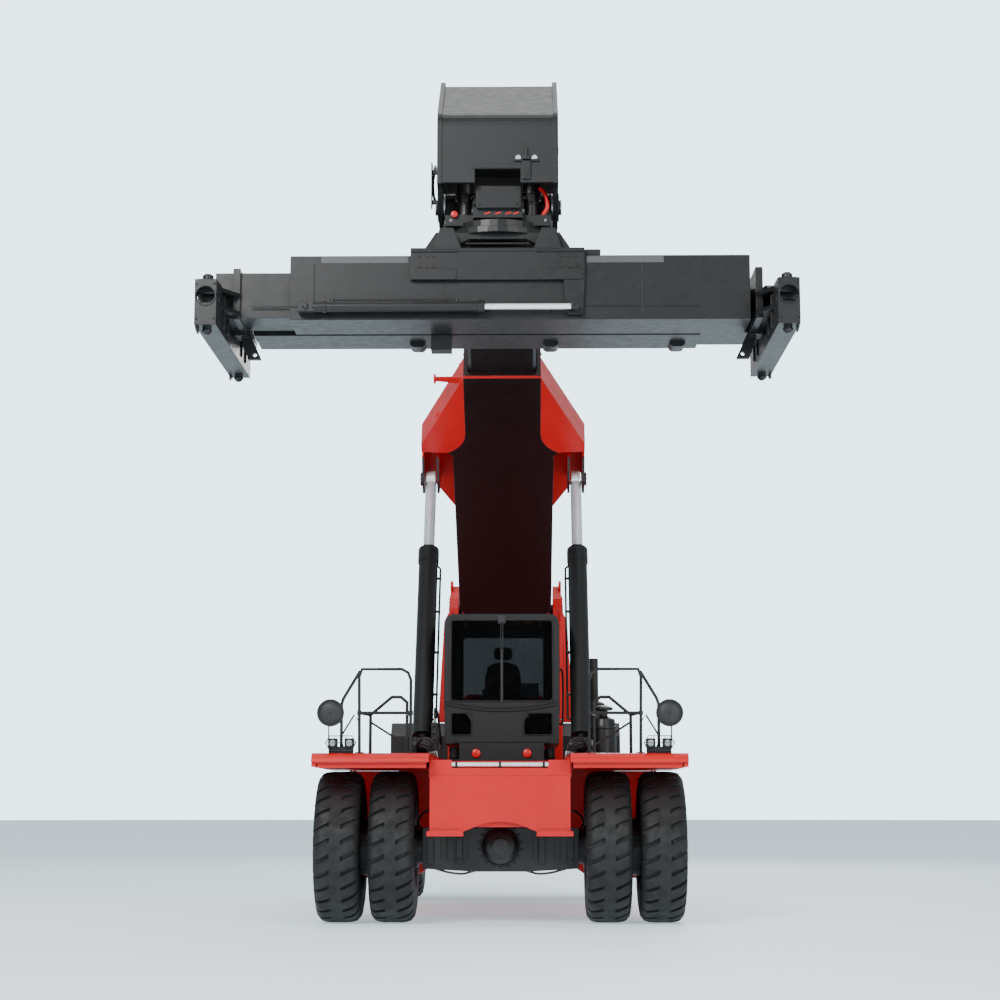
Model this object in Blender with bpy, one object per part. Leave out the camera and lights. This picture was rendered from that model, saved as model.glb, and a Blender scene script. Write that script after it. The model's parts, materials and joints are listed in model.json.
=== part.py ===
"""Reach stacker: a container handler with a telescopic boom and a 20 to 40 ft spreader.

World frame: metres, +Z up, +X the machine's left side, the machine faces -Y.
Lengths along the machine are given as a distance behind the front axle.
"""
import bmesh
import bpy
from math import cos, pi, radians, sin
from mathutils import Matrix, Vector

# ---- driving dimensions -------------------------------------------------
SEAT_GAP = 0.0003          # between solids that touch
RUN_GAP = 0.0008           # at pins, bearings and wear pads
FRONT_AXLE_Y = -2.056
WHEELBASE = 6.12
TYRE_RADIUS = 0.838
TYRE_WIDTH = 0.50
TWIN_GAP = 0.10
OVERALL_WIDTH = 4.10
RIM_RADIUS = 0.32
RIM_WALL = 0.03
WHEEL_SIDES = 32

FRAME_HALF = 0.74
FRAME_LOW, FRAME_TOP = 1.06, 1.74
FRAME_FRONT = -0.70
FRAME_NECK = 4.90          # behind this the frame is narrow, for the steered wheels
FRAME_END = 7.13
NECK_HALF = 0.46
NOSE_HALF = 0.77
NOSE_LOW, NOSE_TOP = 1.007, 1.70
DECK_LOW, DECK_TOP = 1.80, 1.86
DECK_FRONT, DECK_END = -1.00, 4.75
TANK_FRONT, TANK_END = 1.15, 4.60
TANK_LOW, TANK_OUT = 0.45, 1.80
HOOD_HINGE_Z = 1.90

CAB_HALF = 0.68
CAB_FRONT, CAB_REAR = 1.00, 2.70
CAB_LOW, CAB_TOP = 2.02, 3.56
CAB_WALL = 0.06
DOOR_FRONT, DOOR_REAR = 1.82, 2.60

BOOM_ANGLE = 30.0
PIVOT_BEHIND, PIVOT_HEIGHT = 6.20, 4.10
PIVOT_PIN = 0.09
TOWER_IN, TOWER_OUT = 0.68, 0.80
OUTER_LENGTH = 5.50
OUTER_HALF = 0.48
OUTER_LOW, OUTER_TOP = -0.37, 0.44
FLANGE_HALF = 0.65
INNER_HALF = 0.42
INNER_LOW, INNER_TOP = -0.32, 0.38
INNER_TAIL, INNER_END = 2.00, 8.30

LIFT_X = 0.94
LIFT_BASE = (0.917, 2.00)      # behind the axle, height
LIFT_EYE = (3.62, -0.48)       # along the boom, above its centre line
LIFT_BARREL = 0.12
LIFT_ROD = 0.07
LIFT_BARREL_LENGTH = 2.76

HEAD_PIN = (-2.078, 7.646)
HEAD_HALF = 0.635
HEAD_PLATE = 0.05

CORNER_X, CORNER_Y = 5.853 / 2, 2.259 / 2     # a 20 ft container's corner castings
SPREADER_TIP = 5.985
CHANNEL_LOW, CHANNEL_TOP = 6.25, 6.93
CHANNEL_OUT, CHANNEL_IN = 0.67, 0.03
CHANNEL_PLATE = 0.03
CHANNEL_SHORT, CHANNEL_LONG = 2.15, 2.61
END_BEAM_HALF = 0.11
END_BEAM_LOW, END_BEAM_TOP = 6.06, 6.53
BEAM_TOP = 6.80

COLOURS = {
    "red_paint": ((0.68, 0.035, 0.03), 0.35, 0.0),
    "black_paint": ((0.030, 0.031, 0.033), 0.45, 0.0),
    "head_grey": ((0.045, 0.046, 0.048), 0.45, 0.0),
    "tyre": ((0.02, 0.02, 0.021), 0.85, 0.0),
    "chrome": ((0.8, 0.8, 0.82), 0.12, 1.0),
    "iron": ((0.05, 0.05, 0.052), 0.6, 0.6),
    "glass": ((0.05, 0.06, 0.07), 0.05, 0.0),
    "seat": ((0.03, 0.03, 0.032), 0.8, 0.0),
}


# ---- shape tools -----------------------------------------------------------
def at(behind):
    """World Y of a place given behind the front axle."""
    return FRONT_AXLE_Y + behind


def span(side, near, far):
    """The X range of a piece on one side of the machine."""
    return sorted((side * near, side * far))


def from_bmesh(mesh_data):
    """A scene object made from a bmesh, with its faces pointing out."""
    bmesh.ops.recalc_face_normals(mesh_data, faces=mesh_data.faces)
    mesh = bpy.data.meshes.new("shape")
    mesh_data.to_mesh(mesh)
    mesh_data.free()
    shape = bpy.data.objects.new("shape", mesh)
    bpy.context.scene.collection.objects.link(shape)
    return shape


def prism(axis, outline, low, high):
    """An outline in the plane across an axis, drawn out from low to high."""
    order = {"X": (2, 0, 1), "Y": (0, 2, 1), "Z": (0, 1, 2)}[axis]
    shape = bmesh.new()
    rings = []
    for level in (low, high):
        points = [(first, second, level) for first, second in outline]
        rings.append([shape.verts.new([point[index] for index in order]) for point in points])
    count = len(outline)
    shape.faces.new(rings[0])
    shape.faces.new(list(reversed(rings[1])))
    for index in range(count):
        following = (index + 1) % count
        shape.faces.new((rings[0][index], rings[0][following], rings[1][following], rings[1][index]))
    return from_bmesh(shape)


def box(x_range, y_range, z_range):
    """A block between two corners."""
    (left, right), (front, back), (low, high) = x_range, y_range, z_range
    return prism("Z", [(left, front), (right, front), (right, back), (left, back)], low, high)


def turned(profile, centre, direction, sides=28):
    """A profile of (radius, distance along) turned about an axis through centre."""
    shape = bmesh.new()
    rings = []
    for radius, distance in profile:
        if radius == 0:
            rings.append([shape.verts.new((0, 0, distance))])
            continue
        angles = [2 * pi * step / sides for step in range(sides)]
        rings.append([shape.verts.new((radius * cos(a), radius * sin(a), distance)) for a in angles])
    pairs = list(zip(rings, rings[1:]))
    if len(rings[0]) > 1:
        pairs.append((rings[-1], rings[0]))
    for first, second in pairs:
        for step in range(sides):
            after = (step + 1) % sides
            corners = [first[step % len(first)], first[after % len(first)],
                       second[after % len(second)], second[step % len(second)]]
            shape.faces.new(list(dict.fromkeys(corners)))
    turn = Vector((0, 0, 1)).rotation_difference(Vector(direction)).to_matrix().to_4x4()
    shape.transform(Matrix.Translation(centre) @ turn)
    return from_bmesh(shape)


def bar(start, end, radius, sides=24):
    """A round bar between two points."""
    start, end = Vector(start), Vector(end)
    length = (end - start).length
    return turned([(0, 0), (radius, 0), (radius, length), (0, length)], start, end - start, sides)


def tube(points, radius):
    """A bent tube through points, with closed ends."""
    curve = bpy.data.curves.new("tube", "CURVE")
    curve.dimensions = "3D"
    curve.bevel_depth = radius
    curve.bevel_resolution = 1
    curve.use_fill_caps = True
    spline = curve.splines.new("POLY")
    spline.points.add(len(points) - 1)
    for point, place in zip(spline.points, points):
        point.co = (*place, 1)
    shape = bpy.data.objects.new("tube", curve)
    bpy.context.scene.collection.objects.link(shape)
    mesh = bpy.data.meshes.new_from_object(shape.evaluated_get(bpy.context.evaluated_depsgraph_get()))
    bpy.data.objects.remove(shape)
    solid = bpy.data.objects.new("tube", mesh)
    bpy.context.scene.collection.objects.link(solid)
    return solid


def combine(base, others, operation):
    """The base joined with, or cut by, the other shapes, which are used up."""
    for other in others:
        modifier = base.modifiers.new(operation, "BOOLEAN")
        modifier.operation = operation
        modifier.solver = "EXACT"
        modifier.object = other
    mesh = bpy.data.meshes.new_from_object(base.evaluated_get(bpy.context.evaluated_depsgraph_get()))
    base.modifiers.clear()
    base.data = mesh
    for other in others:
        bpy.data.objects.remove(other)
    return base


def join(*shapes):
    return combine(shapes[0], shapes[1:], "UNION")


def cut(base, *cutters):
    return combine(base, cutters, "DIFFERENCE")


def name_part(shape, name, colour, pivot=(0, 0, 0)):
    """Names a finished shape, paints it and puts its origin on its joint."""
    shape.name = name
    shape.data.name = name
    shape.data.transform(Matrix.Translation(-Vector(pivot)))
    shape.location = pivot
    shape.data.materials.clear()
    shape.data.materials.append(paint(colour))
    shape.data.shade_smooth()
    shape.data.set_sharp_from_angle(angle=radians(35))
    return shape


def paint(name):
    if name in bpy.data.materials:
        return bpy.data.materials[name]
    colour, roughness, metallic = COLOURS[name]
    material = bpy.data.materials.new(name)
    material.use_nodes = True
    shader = material.node_tree.nodes["Principled BSDF"]
    shader.inputs["Base Color"].default_value = (*colour, 1)
    shader.inputs["Roughness"].default_value = roughness
    shader.inputs["Metallic"].default_value = metallic
    return material


def arc(centre, radius, start, end, steps):
    """Points on a circle between two angles in degrees."""
    angles = [radians(start + (end - start) * step / steps) for step in range(steps + 1)]
    return [(centre[0] + radius * cos(a), centre[1] + radius * sin(a)) for a in angles]


SIDES = {"left": 1, "right": -1}


# ---- chassis -----------------------------------------------------------------
def make_frame():
    plan = [(-FRAME_HALF, at(FRAME_FRONT)), (FRAME_HALF, at(FRAME_FRONT)),
            (FRAME_HALF, at(FRAME_NECK)), (NECK_HALF, at(FRAME_NECK + 0.22)),
            (NECK_HALF, at(FRAME_END)), (-NECK_HALF, at(FRAME_END)),
            (-NECK_HALF, at(FRAME_NECK + 0.22)), (-FRAME_HALF, at(FRAME_NECK))]
    body = prism("Z", plan, FRAME_LOW, FRAME_TOP)
    tower_deck = box((-TOWER_OUT, TOWER_OUT), (at(5.0), at(FRAME_END)), (FRAME_TOP - 0.01, 1.84))
    axle_seat = box((-0.34, 0.34), (at(WHEELBASE - 0.2), at(WHEELBASE + 0.2)), (TYRE_RADIUS + 0.20 + SEAT_GAP, FRAME_LOW + 0.05))
    shelf = box((-0.66, 0.66), (at(0.30), at(0.72)), (FRAME_TOP - 0.01, 1.80))
    engine_bay = box((-0.50, 0.50), (at(3.30), at(4.80)), (1.25, 2.0))
    frame = cut(join(body, tower_deck, axle_seat, shelf), engine_bay)
    name_part(frame, "main_frame", "red_paint")


def make_nose():
    high = NOSE_TOP + 0.09
    outline = [(-NOSE_HALF, NOSE_LOW), (-0.42, NOSE_LOW), *arc((0, 0.40), 0.72, 118, 62, 8),
               (0.42, NOSE_LOW), (NOSE_HALF, NOSE_LOW), (NOSE_HALF, high), (0.53, high),
               (0.53, NOSE_TOP), (-0.53, NOSE_TOP), (-0.53, high), (-NOSE_HALF, high)]
    front, back = at(FRAME_FRONT - 0.06), at(FRAME_FRONT - SEAT_GAP)
    plate = prism("Y", outline, front, back)
    feet = [box(span(side, 0.40, NOSE_HALF + 0.03), (front - 0.05, back), (NOSE_LOW - 0.045, NOSE_LOW + 0.01))
            for side in SIDES.values()]
    name_part(join(plate, *feet), "nose_plate", "red_paint")
    height = NOSE_TOP + 0.04
    rail = bar((-0.53 + SEAT_GAP, front + 0.03, height), (0.53 - SEAT_GAP, front + 0.03, height), 0.024)
    name_part(rail, "nose_bar", "chrome")


def make_front_axle():
    y, z = at(0), TYRE_RADIUS
    outline = [(-0.87, 0.60), (-0.30, 0.567), (0.30, 0.567), (0.87, 0.60), (0.87, 1.047), (-0.87, 1.047)]
    body = prism("Y", outline, y - 0.26, y + 0.26)
    dome = turned([(0, -0.44), (0.08, -0.43), (0.155, -0.39), (0.20, -0.32), (0.21, -0.24), (0, -0.24)],
                  (0, y, z + 0.012), (0, 1, 0), 32)
    rear_dome = turned([(0, 0.24), (0.21, 0.24), (0.19, 0.36), (0.10, 0.42), (0, 0.43)],
                       (0, y, z + 0.012), (0, 1, 0), 32)
    arms = bar((-1.56, y, z), (1.56, y, z), 0.19, 32)
    spindle = bar((-1.70, y, z), (1.70, y, z), 0.10, 28)
    ribs = [box((x - 0.03, x + 0.03), (y - 0.31, y - 0.2), (0.66, 0.98)) for x in (-0.78, -0.46, 0.46, 0.78)]
    saddle = box((-0.60, 0.60), (y - 0.2, y + 0.2), (1.0, FRAME_LOW - SEAT_GAP))
    axle = join(body, dome, rear_dome, arms, spindle, saddle, *ribs)
    name_part(axle, "front_axle", "black_paint")


def make_deck(label, side):
    lip = arc((DECK_FRONT + 0.10, DECK_TOP - 0.10), 0.10, 90, 180, 5)
    inner_lip = arc((DECK_FRONT + 0.10, DECK_TOP - 0.10), 0.055, 180, 90, 5)
    profile = [(at(TANK_FRONT), DECK_LOW + 0.005), (at(TANK_FRONT), DECK_TOP)]
    profile += [(at(y), z) for y, z in lip] + [(at(y), z) for y, z in inner_lip]
    cover = prism("X", profile, *span(side, NOSE_HALF + SEAT_GAP, OVERALL_WIDTH / 2))
    skirt_outline = [(at(DECK_FRONT + 0.03), DECK_TOP - 0.05), (at(DECK_FRONT + 0.03), 1.71),
                     (at(TANK_FRONT - 0.05), 1.71), (at(TANK_FRONT - 0.05), DECK_TOP - 0.01)]
    skirt = prism("X", skirt_outline, *span(side, OVERALL_WIDTH / 2 - 0.05, OVERALL_WIDTH / 2))
    walkway = box(span(side, FRAME_HALF + SEAT_GAP, 1.90), (at(TANK_FRONT - 0.4), at(DECK_END)),
                  (DECK_LOW, DECK_TOP - 0.002))
    hanger = box(span(side, FRAME_HALF + SEAT_GAP, FRAME_HALF + 0.05), (at(-0.60), at(DECK_END)),
                 (1.60, DECK_LOW + 0.02))
    name_part(join(cover, skirt, walkway, hanger), "deck_" + label, "red_paint")


def make_tank(side, name):
    inner = FRAME_HALF + 0.05 + SEAT_GAP
    outline = [(side * inner, 0.62), (side * (inner + 0.25), TANK_LOW), (side * (TANK_OUT - 0.15), TANK_LOW),
               (side * TANK_OUT, TANK_LOW + 0.15), (side * TANK_OUT, 1.70), (side * inner, 1.70)]
    tank = prism("Y", outline, at(TANK_FRONT), at(TANK_END))
    name_part(tank, name, "red_paint")


def make_steps(label, side):
    """A boarding ladder hung from the walkway's outer edge."""
    front, back = at(1.95), at(2.55)
    x = side * 1.87
    rails = [box(sorted((x - 0.015, x + 0.015)), (y - 0.02, y + 0.02), (0.48, DECK_LOW - SEAT_GAP))
             for y in (front, back)]
    treads = [box(sorted((x - side * 0.05, x + side * 0.09)), (front, back), (z - 0.02, z + 0.02))
              for z in (0.52, 0.86, 1.20, 1.54)]
    name_part(join(*rails, *treads), "steps_" + label, "black_paint")


def make_handrail(label, side):
    y, foot = at(-0.80), DECK_TOP + SEAT_GAP
    front = [(side * 1.54, y, foot), (side * 1.55, y, 2.70), (side * 1.52, y, 2.78), (side * 1.08, y, 2.78),
             (side * 1.01, y, 2.74), (side * 0.98, y, 2.66), (side * 0.98, y, foot)]
    outer = [(side * 1.54, y, 2.76), (side * 1.72, y, 2.46), (side * 1.74, y, 2.40), (side * 1.74, y, foot)]
    middle = [(side * 1.545, y, 2.30), (side * 0.98, y, 2.30)]
    back = at(-0.30)
    rear = [(side * 1.46, back, foot), (side * 1.46, back, 2.30), (side * 1.22, back, 2.50),
            (side * 1.12, back, 2.50), (side * 1.05, back, 2.44), (side * 1.05, back, foot)]
    top = [(side * 1.53, y, 2.30), (side * 1.46, back, 2.30)]
    inner = [(side * 0.98, y, 2.30), (side * 1.05, back, 2.30)]
    arm = [(side * 1.735, y, 2.30), (side * 1.83, y, 2.30)]
    tubes = [tube(route, 0.019) for route in (front, outer, middle, rear, top, inner, arm)]
    mirror = turned([(0, -0.035), (0.10, -0.03), (0.148, 0.0), (0.148, 0.02), (0, 0.02)],
                    (side * 1.86, y, 2.30), (0, -1, 0), 28)
    name_part(join(*tubes, mirror), "handrail_" + label, "black_paint")


def make_lamps(label, side):
    y = at(-0.875)
    lamps = [box((side * x - 0.05, side * x + 0.05), (y - 0.04, y + 0.05), (1.915, 2.02)) for x in (1.645, 1.825)]
    foot = box(span(side, 1.60, 1.87), (y - 0.02, y + 0.03), (DECK_TOP + SEAT_GAP, 1.93))
    name_part(join(foot, *lamps), "headlamps_" + label, "black_paint")


def make_engine():
    block = box((-0.42, 0.42), (at(3.42), at(4.68)), (1.25 + SEAT_GAP, 2.25))
    name_part(block, "engine_block", "iron")
    half, front, back, top = 0.62, at(3.20), at(4.95), 2.72
    low = FRAME_TOP + SEAT_GAP
    shell = prism("Y", [(-half, low), (half, low), (half, top - 0.15), (half - 0.15, top),
                        (-half + 0.15, top), (-half, top - 0.15)], front, back)
    hollow = box((-half + 0.03, half - 0.03), (front + 0.03, back - 0.03), (low - 0.1, top - 0.19))
    hood = cut(shell, hollow)
    name_part(hood, "engine_hood", "red_paint", (-half, (front + back) / 2, HOOD_HINGE_Z))


def make_counterweight():
    low, top, half = 1.85, 2.45, 1.60
    rear = prism("X", [(at(FRAME_END), 0.80), (at(FRAME_END + 0.22), 0.80), (at(7.46), 1.05),
                       (at(7.46), top - 0.18), (at(7.34), top), (at(FRAME_END - 0.02), top),
                       (at(FRAME_END - 0.02), low), (at(FRAME_END), low)], -half, half)
    wings = [prism("X", [(at(5.20), low), (at(FRAME_END), low), (at(FRAME_END), top - 0.01),
                         (at(5.42), top - 0.01), (at(5.20), top - 0.2)],
                   *span(side, TOWER_OUT + SEAT_GAP, half)) for side in SIDES.values()]
    name_part(join(rear, *wings), "counterweight", "black_paint")


def make_tower(label, side):
    foot = 1.84 + SEAT_GAP
    centre = (at(PIVOT_BEHIND), PIVOT_HEIGHT)
    outline = [(at(5.15), foot), (at(7.05), foot), (at(7.05), foot + 0.5), (at(6.62), 3.9),
               *arc(centre, 0.36, 0, 180, 8), (at(5.62), 3.6), (at(5.15), foot + 0.5)]
    plate = prism("X", outline, *span(side, TOWER_IN, TOWER_OUT))
    rib = prism("Y", [(side * (TOWER_OUT - 0.02), 2.46), (side * (TOWER_OUT + 0.16), 2.46),
                      (side * (TOWER_OUT + 0.08), 3.9), (side * (TOWER_OUT - 0.02), 4.1)],
                at(5.70), at(5.76))
    eye = turned([(0.035, -0.02), (0.07, -0.02), (0.07, 0.02), (0.035, 0.02)],
                 (side * (TOWER_OUT - 0.02), at(5.98), 4.44), (1, 0, 0), 20)
    bore = bar((side * 0.5, centre[0], centre[1]), (side * 1.0, centre[0], centre[1]), PIVOT_PIN + RUN_GAP, 28)
    name_part(cut(join(plate, rib, eye), bore), "boom_tower_" + label, "red_paint")


def make_pivot_pin():
    y, z = at(PIVOT_BEHIND), PIVOT_HEIGHT
    pin = bar((-TOWER_OUT - 0.03, y, z), (TOWER_OUT + 0.03, y, z), PIVOT_PIN, 28)
    name_part(pin, "boom_pivot_pin", "iron")


# ---- wheels --------------------------------------------------------------------
def make_tyre(name, centre_x, behind):
    half, inner = TYRE_WIDTH / 2, RIM_RADIUS + SEAT_GAP
    r = TYRE_RADIUS
    profile = [(inner, -half + 0.05), (inner + 0.10, -half + 0.01), (r - 0.16, -half), (r - 0.03, -half + 0.045),
               (r, -half + 0.11), (r, half - 0.11), (r - 0.03, half - 0.045), (r - 0.16, half),
               (inner + 0.10, half - 0.01), (inner, half - 0.05)]
    centre = (centre_x, at(behind), TYRE_RADIUS)
    name_part(turned(profile, centre, (1, 0, 0), WHEEL_SIDES), name, "tyre", centre)


def make_front_rim(label, side):
    inner_edge = OVERALL_WIDTH / 2 - 2 * TYRE_WIDTH - TWIN_GAP
    r, wall, disc = RIM_RADIUS, RIM_WALL, 1.62
    profile = [(r, inner_edge + 0.03), (r, 2.03), (r - wall, 2.03), (r - wall, disc + 0.05), (0.20, disc + 0.05),
               (0.17, disc + 0.26), (0.11, disc + 0.27), (0.10 + RUN_GAP, disc + 0.20), (0.10 + RUN_GAP, disc),
               (r - wall, disc), (r - wall, inner_edge + 0.03)]
    centre = (0, at(0), TYRE_RADIUS)
    rim = turned(profile, centre, (side, 0, 0), WHEEL_SIDES)
    name_part(rim, "front_rim_" + label, "black_paint", (side * disc, at(0), TYRE_RADIUS))


KINGPIN_X = 1.15
REAR_WHEEL_X = 1.42


def make_rear_axle():
    y, z = at(WHEELBASE), TYRE_RADIUS
    outline = [(-1.0, z - 0.14), (-0.70, z - 0.22), (0.70, z - 0.22), (1.0, z - 0.14), (1.0, z + 0.14),
               (0.70, z + 0.2), (-0.70, z + 0.2), (-1.0, z + 0.14)]
    beam = prism("Y", outline, y - 0.15, y + 0.15)
    ends = [bar((side * KINGPIN_X, y, z - 0.115), (side * KINGPIN_X, y, z + 0.115), 0.12, 26) for side in (1, -1)]
    necks = [box(span(side, 0.95, KINGPIN_X - 0.02), (y - 0.093, y + 0.093), (z - 0.10, z + 0.10)) for side in (1, -1)]
    bores = [bar((side * KINGPIN_X, y, z - 0.3), (side * KINGPIN_X, y, z + 0.3), 0.055 + RUN_GAP, 28)
             for side in (1, -1)]
    axle = cut(join(beam, *ends, *necks), *bores)
    name_part(axle, "rear_axle", "black_paint")


def make_knuckle(label, side):
    y, z = at(WHEELBASE), TYRE_RADIUS
    pin = bar((side * KINGPIN_X, y, z - 0.17), (side * KINGPIN_X, y, z + 0.17), 0.055, 28)
    arms = [box(span(side, KINGPIN_X - 0.08, 1.34), (y - 0.09, y + 0.09), sorted((z + s * 0.12, z + s * 0.18)))
            for s in (1, -1)]
    web = box(span(side, 1.29, 1.35), (y - 0.09, y + 0.09), (z - 0.17, z + 0.17))
    spindle = bar((side * 1.30, y, z), (side * 1.52, y, z), 0.08, 28)
    name_part(join(pin, *arms, web, spindle), "steering_knuckle_" + label, "iron", (side * KINGPIN_X, y, z))


def make_rear_rim(label, side):
    r, wall, disc = RIM_RADIUS, RIM_WALL, 1.44
    inner_edge, outer_edge = REAR_WHEEL_X - TYRE_WIDTH / 2, REAR_WHEEL_X + TYRE_WIDTH / 2
    profile = [(0, disc + 0.14), (0.13, disc + 0.14), (0.16, disc + 0.04), (r - wall, disc + 0.04),
              (r - wall, outer_edge - 0.02), (r, outer_edge - 0.02), (r, inner_edge + 0.02),
              (r - wall, inner_edge + 0.02), (r - wall, disc), (0.08 + RUN_GAP, disc),
              (0.08 + RUN_GAP, disc + 0.09), (0, disc + 0.09)]
    rim = turned(profile, (0, at(WHEELBASE), TYRE_RADIUS), (side, 0, 0), WHEEL_SIDES)
    name_part(rim, "rear_rim_" + label, "black_paint", (side * REAR_WHEEL_X, at(WHEELBASE), TYRE_RADIUS))


# ---- cab -----------------------------------------------------------------------
WINDOWS = {   # name: (x range, range behind the axle, height range) of each opening
    "cab_windscreen": ((-0.61, 0.61), (CAB_FRONT, CAB_FRONT + CAB_WALL), (2.52, 3.49)),
    "cab_rear_window": ((-0.52, 0.52), (CAB_REAR - CAB_WALL, CAB_REAR), (2.60, 3.42)),
    "cab_right_window": ((-CAB_HALF, -CAB_HALF + CAB_WALL), (1.10, 2.60), (2.42, 3.46)),
    "cab_quarter_window": ((CAB_HALF - CAB_WALL, CAB_HALF), (1.10, 1.72), (2.42, 3.46)),
    "cab_roof_window": ((-0.45, 0.45), (1.25, 2.25), (CAB_TOP - CAB_WALL, CAB_TOP)),
}


def grown(limits, amount):
    return (limits[0] - amount, limits[1] + amount)


def make_cab():
    corner = 0.10
    outline = [(-CAB_HALF, CAB_LOW), (CAB_HALF, CAB_LOW),
               *arc((CAB_HALF - corner, CAB_TOP - corner), corner, 0, 90, 4),
               *arc((-CAB_HALF + corner, CAB_TOP - corner), corner, 90, 180, 4)]
    shell = prism("Y", outline, at(CAB_FRONT), at(CAB_REAR))
    room = box((-CAB_HALF + CAB_WALL, CAB_HALF - CAB_WALL), (at(CAB_FRONT + CAB_WALL), at(CAB_REAR - CAB_WALL)),
               (CAB_LOW + CAB_WALL, CAB_TOP - CAB_WALL))
    cutters = [room]
    for x_range, along, heights in WINDOWS.values():
        thin = min(range(3), key=lambda index: (x_range, along, heights)[index][1] - (x_range, along, heights)[index][0])
        ranges = [x_range, (at(along[0]), at(along[1])), heights]
        ranges[thin] = grown(ranges[thin], 0.02)
        cutters.append(box(*ranges))
    doorway = box((CAB_HALF - CAB_WALL - 0.02, CAB_HALF + 0.02), (at(DOOR_FRONT), at(DOOR_REAR)), (2.12, 3.46))
    low_windows = [box(x_range, (at(CAB_FRONT - 0.02), at(CAB_FRONT + CAB_WALL + 0.02)), (2.12, 2.38))
                   for x_range in ((-0.60, -0.36), (0.26, 0.60))]
    cab = cut(shell, *cutters, doorway, *low_windows)
    hinge_x, hinge_y = CAB_HALF + 0.020, at(DOOR_REAR + 0.03)
    hinge = bar((hinge_x, hinge_y, 2.30), (hinge_x, hinge_y, 3.30), 0.012, 24)
    blocks = [box((CAB_HALF - 0.01, hinge_x + 0.006), (hinge_y - 0.008, hinge_y + 0.008), (z - 0.02, z + 0.02))
              for z in (2.32, 3.28)]
    name_part(join(cab, hinge, *blocks), "cab_frame", "black_paint")


def make_cab_glass():
    for name, (x_range, along, heights) in WINDOWS.items():
        ranges = [x_range, (at(along[0]), at(along[1])), heights]
        thin = min(range(3), key=lambda index: ranges[index][1] - ranges[index][0])
        sheet = []
        for index, limits in enumerate(ranges):
            middle = sum(limits) / 2
            sheet.append((middle - 0.004, middle + 0.004) if index == thin else grown(limits, -SEAT_GAP))
        name_part(box(*sheet), name, "glass")


def make_door():
    gap, thick = 0.006, CAB_WALL
    y_range, z_range = (at(DOOR_FRONT) + gap, at(DOOR_REAR) - gap), (2.12 + gap, 3.46 - gap)
    x_range = (CAB_HALF - thick + gap, CAB_HALF)
    leaf = box(x_range, y_range, z_range)
    pane = (grown(y_range, -0.07), (2.42, z_range[1] - 0.07))
    window = box(grown(x_range, 0.02), *pane)
    hinge_x, hinge_y = CAB_HALF + 0.020, at(DOOR_REAR + 0.03)
    knuckles = []
    for z in (2.50, 3.10):
        knuckles.append(bar((hinge_x, hinge_y, z - 0.06), (hinge_x, hinge_y, z + 0.06), 0.019, 24))
        knuckles.append(box((CAB_HALF - 0.012, hinge_x), (y_range[1] - 0.05, hinge_y), (z - 0.05, z + 0.05)))
    reliefs = [box((CAB_HALF - 0.03, CAB_HALF + 0.0015), (at(DOOR_REAR) - 0.001, hinge_y + 0.05), (z - 0.2, z + 0.2))
               for z in (2.50, 3.10)]
    bore = bar((hinge_x, hinge_y, 2.2), (hinge_x, hinge_y, 3.4), 0.012 + 0.0006, 24)
    door = cut(join(cut(leaf, window), *knuckles), *reliefs, bore)
    pivot = (hinge_x, hinge_y, 2.8)
    name_part(door, "cab_door", "black_paint", pivot)
    middle = sum(x_range) / 2
    sheet = box((middle - 0.004, middle + 0.004), grown(pane[0], -SEAT_GAP), grown(pane[1], -SEAT_GAP))
    name_part(sheet, "door_window", "glass", pivot)


def make_cab_inside():
    floor = CAB_LOW + CAB_WALL + SEAT_GAP
    base = box((-0.20, 0.20), (at(1.95), at(2.30)), (floor, floor + 0.32))
    cushion = box((-0.25, 0.25), (at(1.82), at(2.36)), (floor + 0.30, floor + 0.44))
    back = prism("X", [(at(2.26), floor + 0.40), (at(2.38), floor + 0.40), (at(2.50), floor + 1.02),
                       (at(2.42), floor + 1.02)], -0.24, 0.24)
    head = box((-0.13, 0.13), (at(2.42), at(2.50)), (floor + 0.99, floor + 1.20))
    name_part(join(base, cushion, back, head), "driver_seat", "seat")
    column = bar((0.001, at(1.40), floor + 0.15), (0.001, at(1.56), floor + 0.66), 0.045, 18)
    console = box((-0.16, 0.16), (at(1.25), at(1.47)), (floor, floor + 0.40))
    wheel = turned([(0, 0.60), (0.20, 0.61), (0.20, 0.64), (0, 0.66)], (0, at(1.40), floor),
                   (0, 0.18, 0.62), 24)
    name_part(join(column, console, wheel), "steering_console", "seat")
    mount = box((-0.50, 0.50), (at(0.80), at(2.60)), (FRAME_TOP + SEAT_GAP, CAB_LOW - SEAT_GAP))
    holes = [bar((x, at(0.7), 1.90), (x, at(0.9), 1.90), 0.055, 24) for x in (-0.30, 0.30)]
    name_part(cut(mount, *holes), "cab_mount", "black_paint")


# ---- boom: built along -Y from the pivot, then tilted up -----------------------
def place_boom(shape, name, colour):
    name_part(shape, name, colour)
    shape.location = (0, at(PIVOT_BEHIND), PIVOT_HEIGHT)
    shape.rotation_euler = (-radians(BOOM_ANGLE), 0, 0)


def boom_point(along, above):
    """World distance behind the axle and height of a point of the boom."""
    tilt = radians(BOOM_ANGLE)
    return (PIVOT_BEHIND - along * cos(tilt) + above * sin(tilt),
            PIVOT_HEIGHT + along * sin(tilt) + above * cos(tilt))


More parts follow.
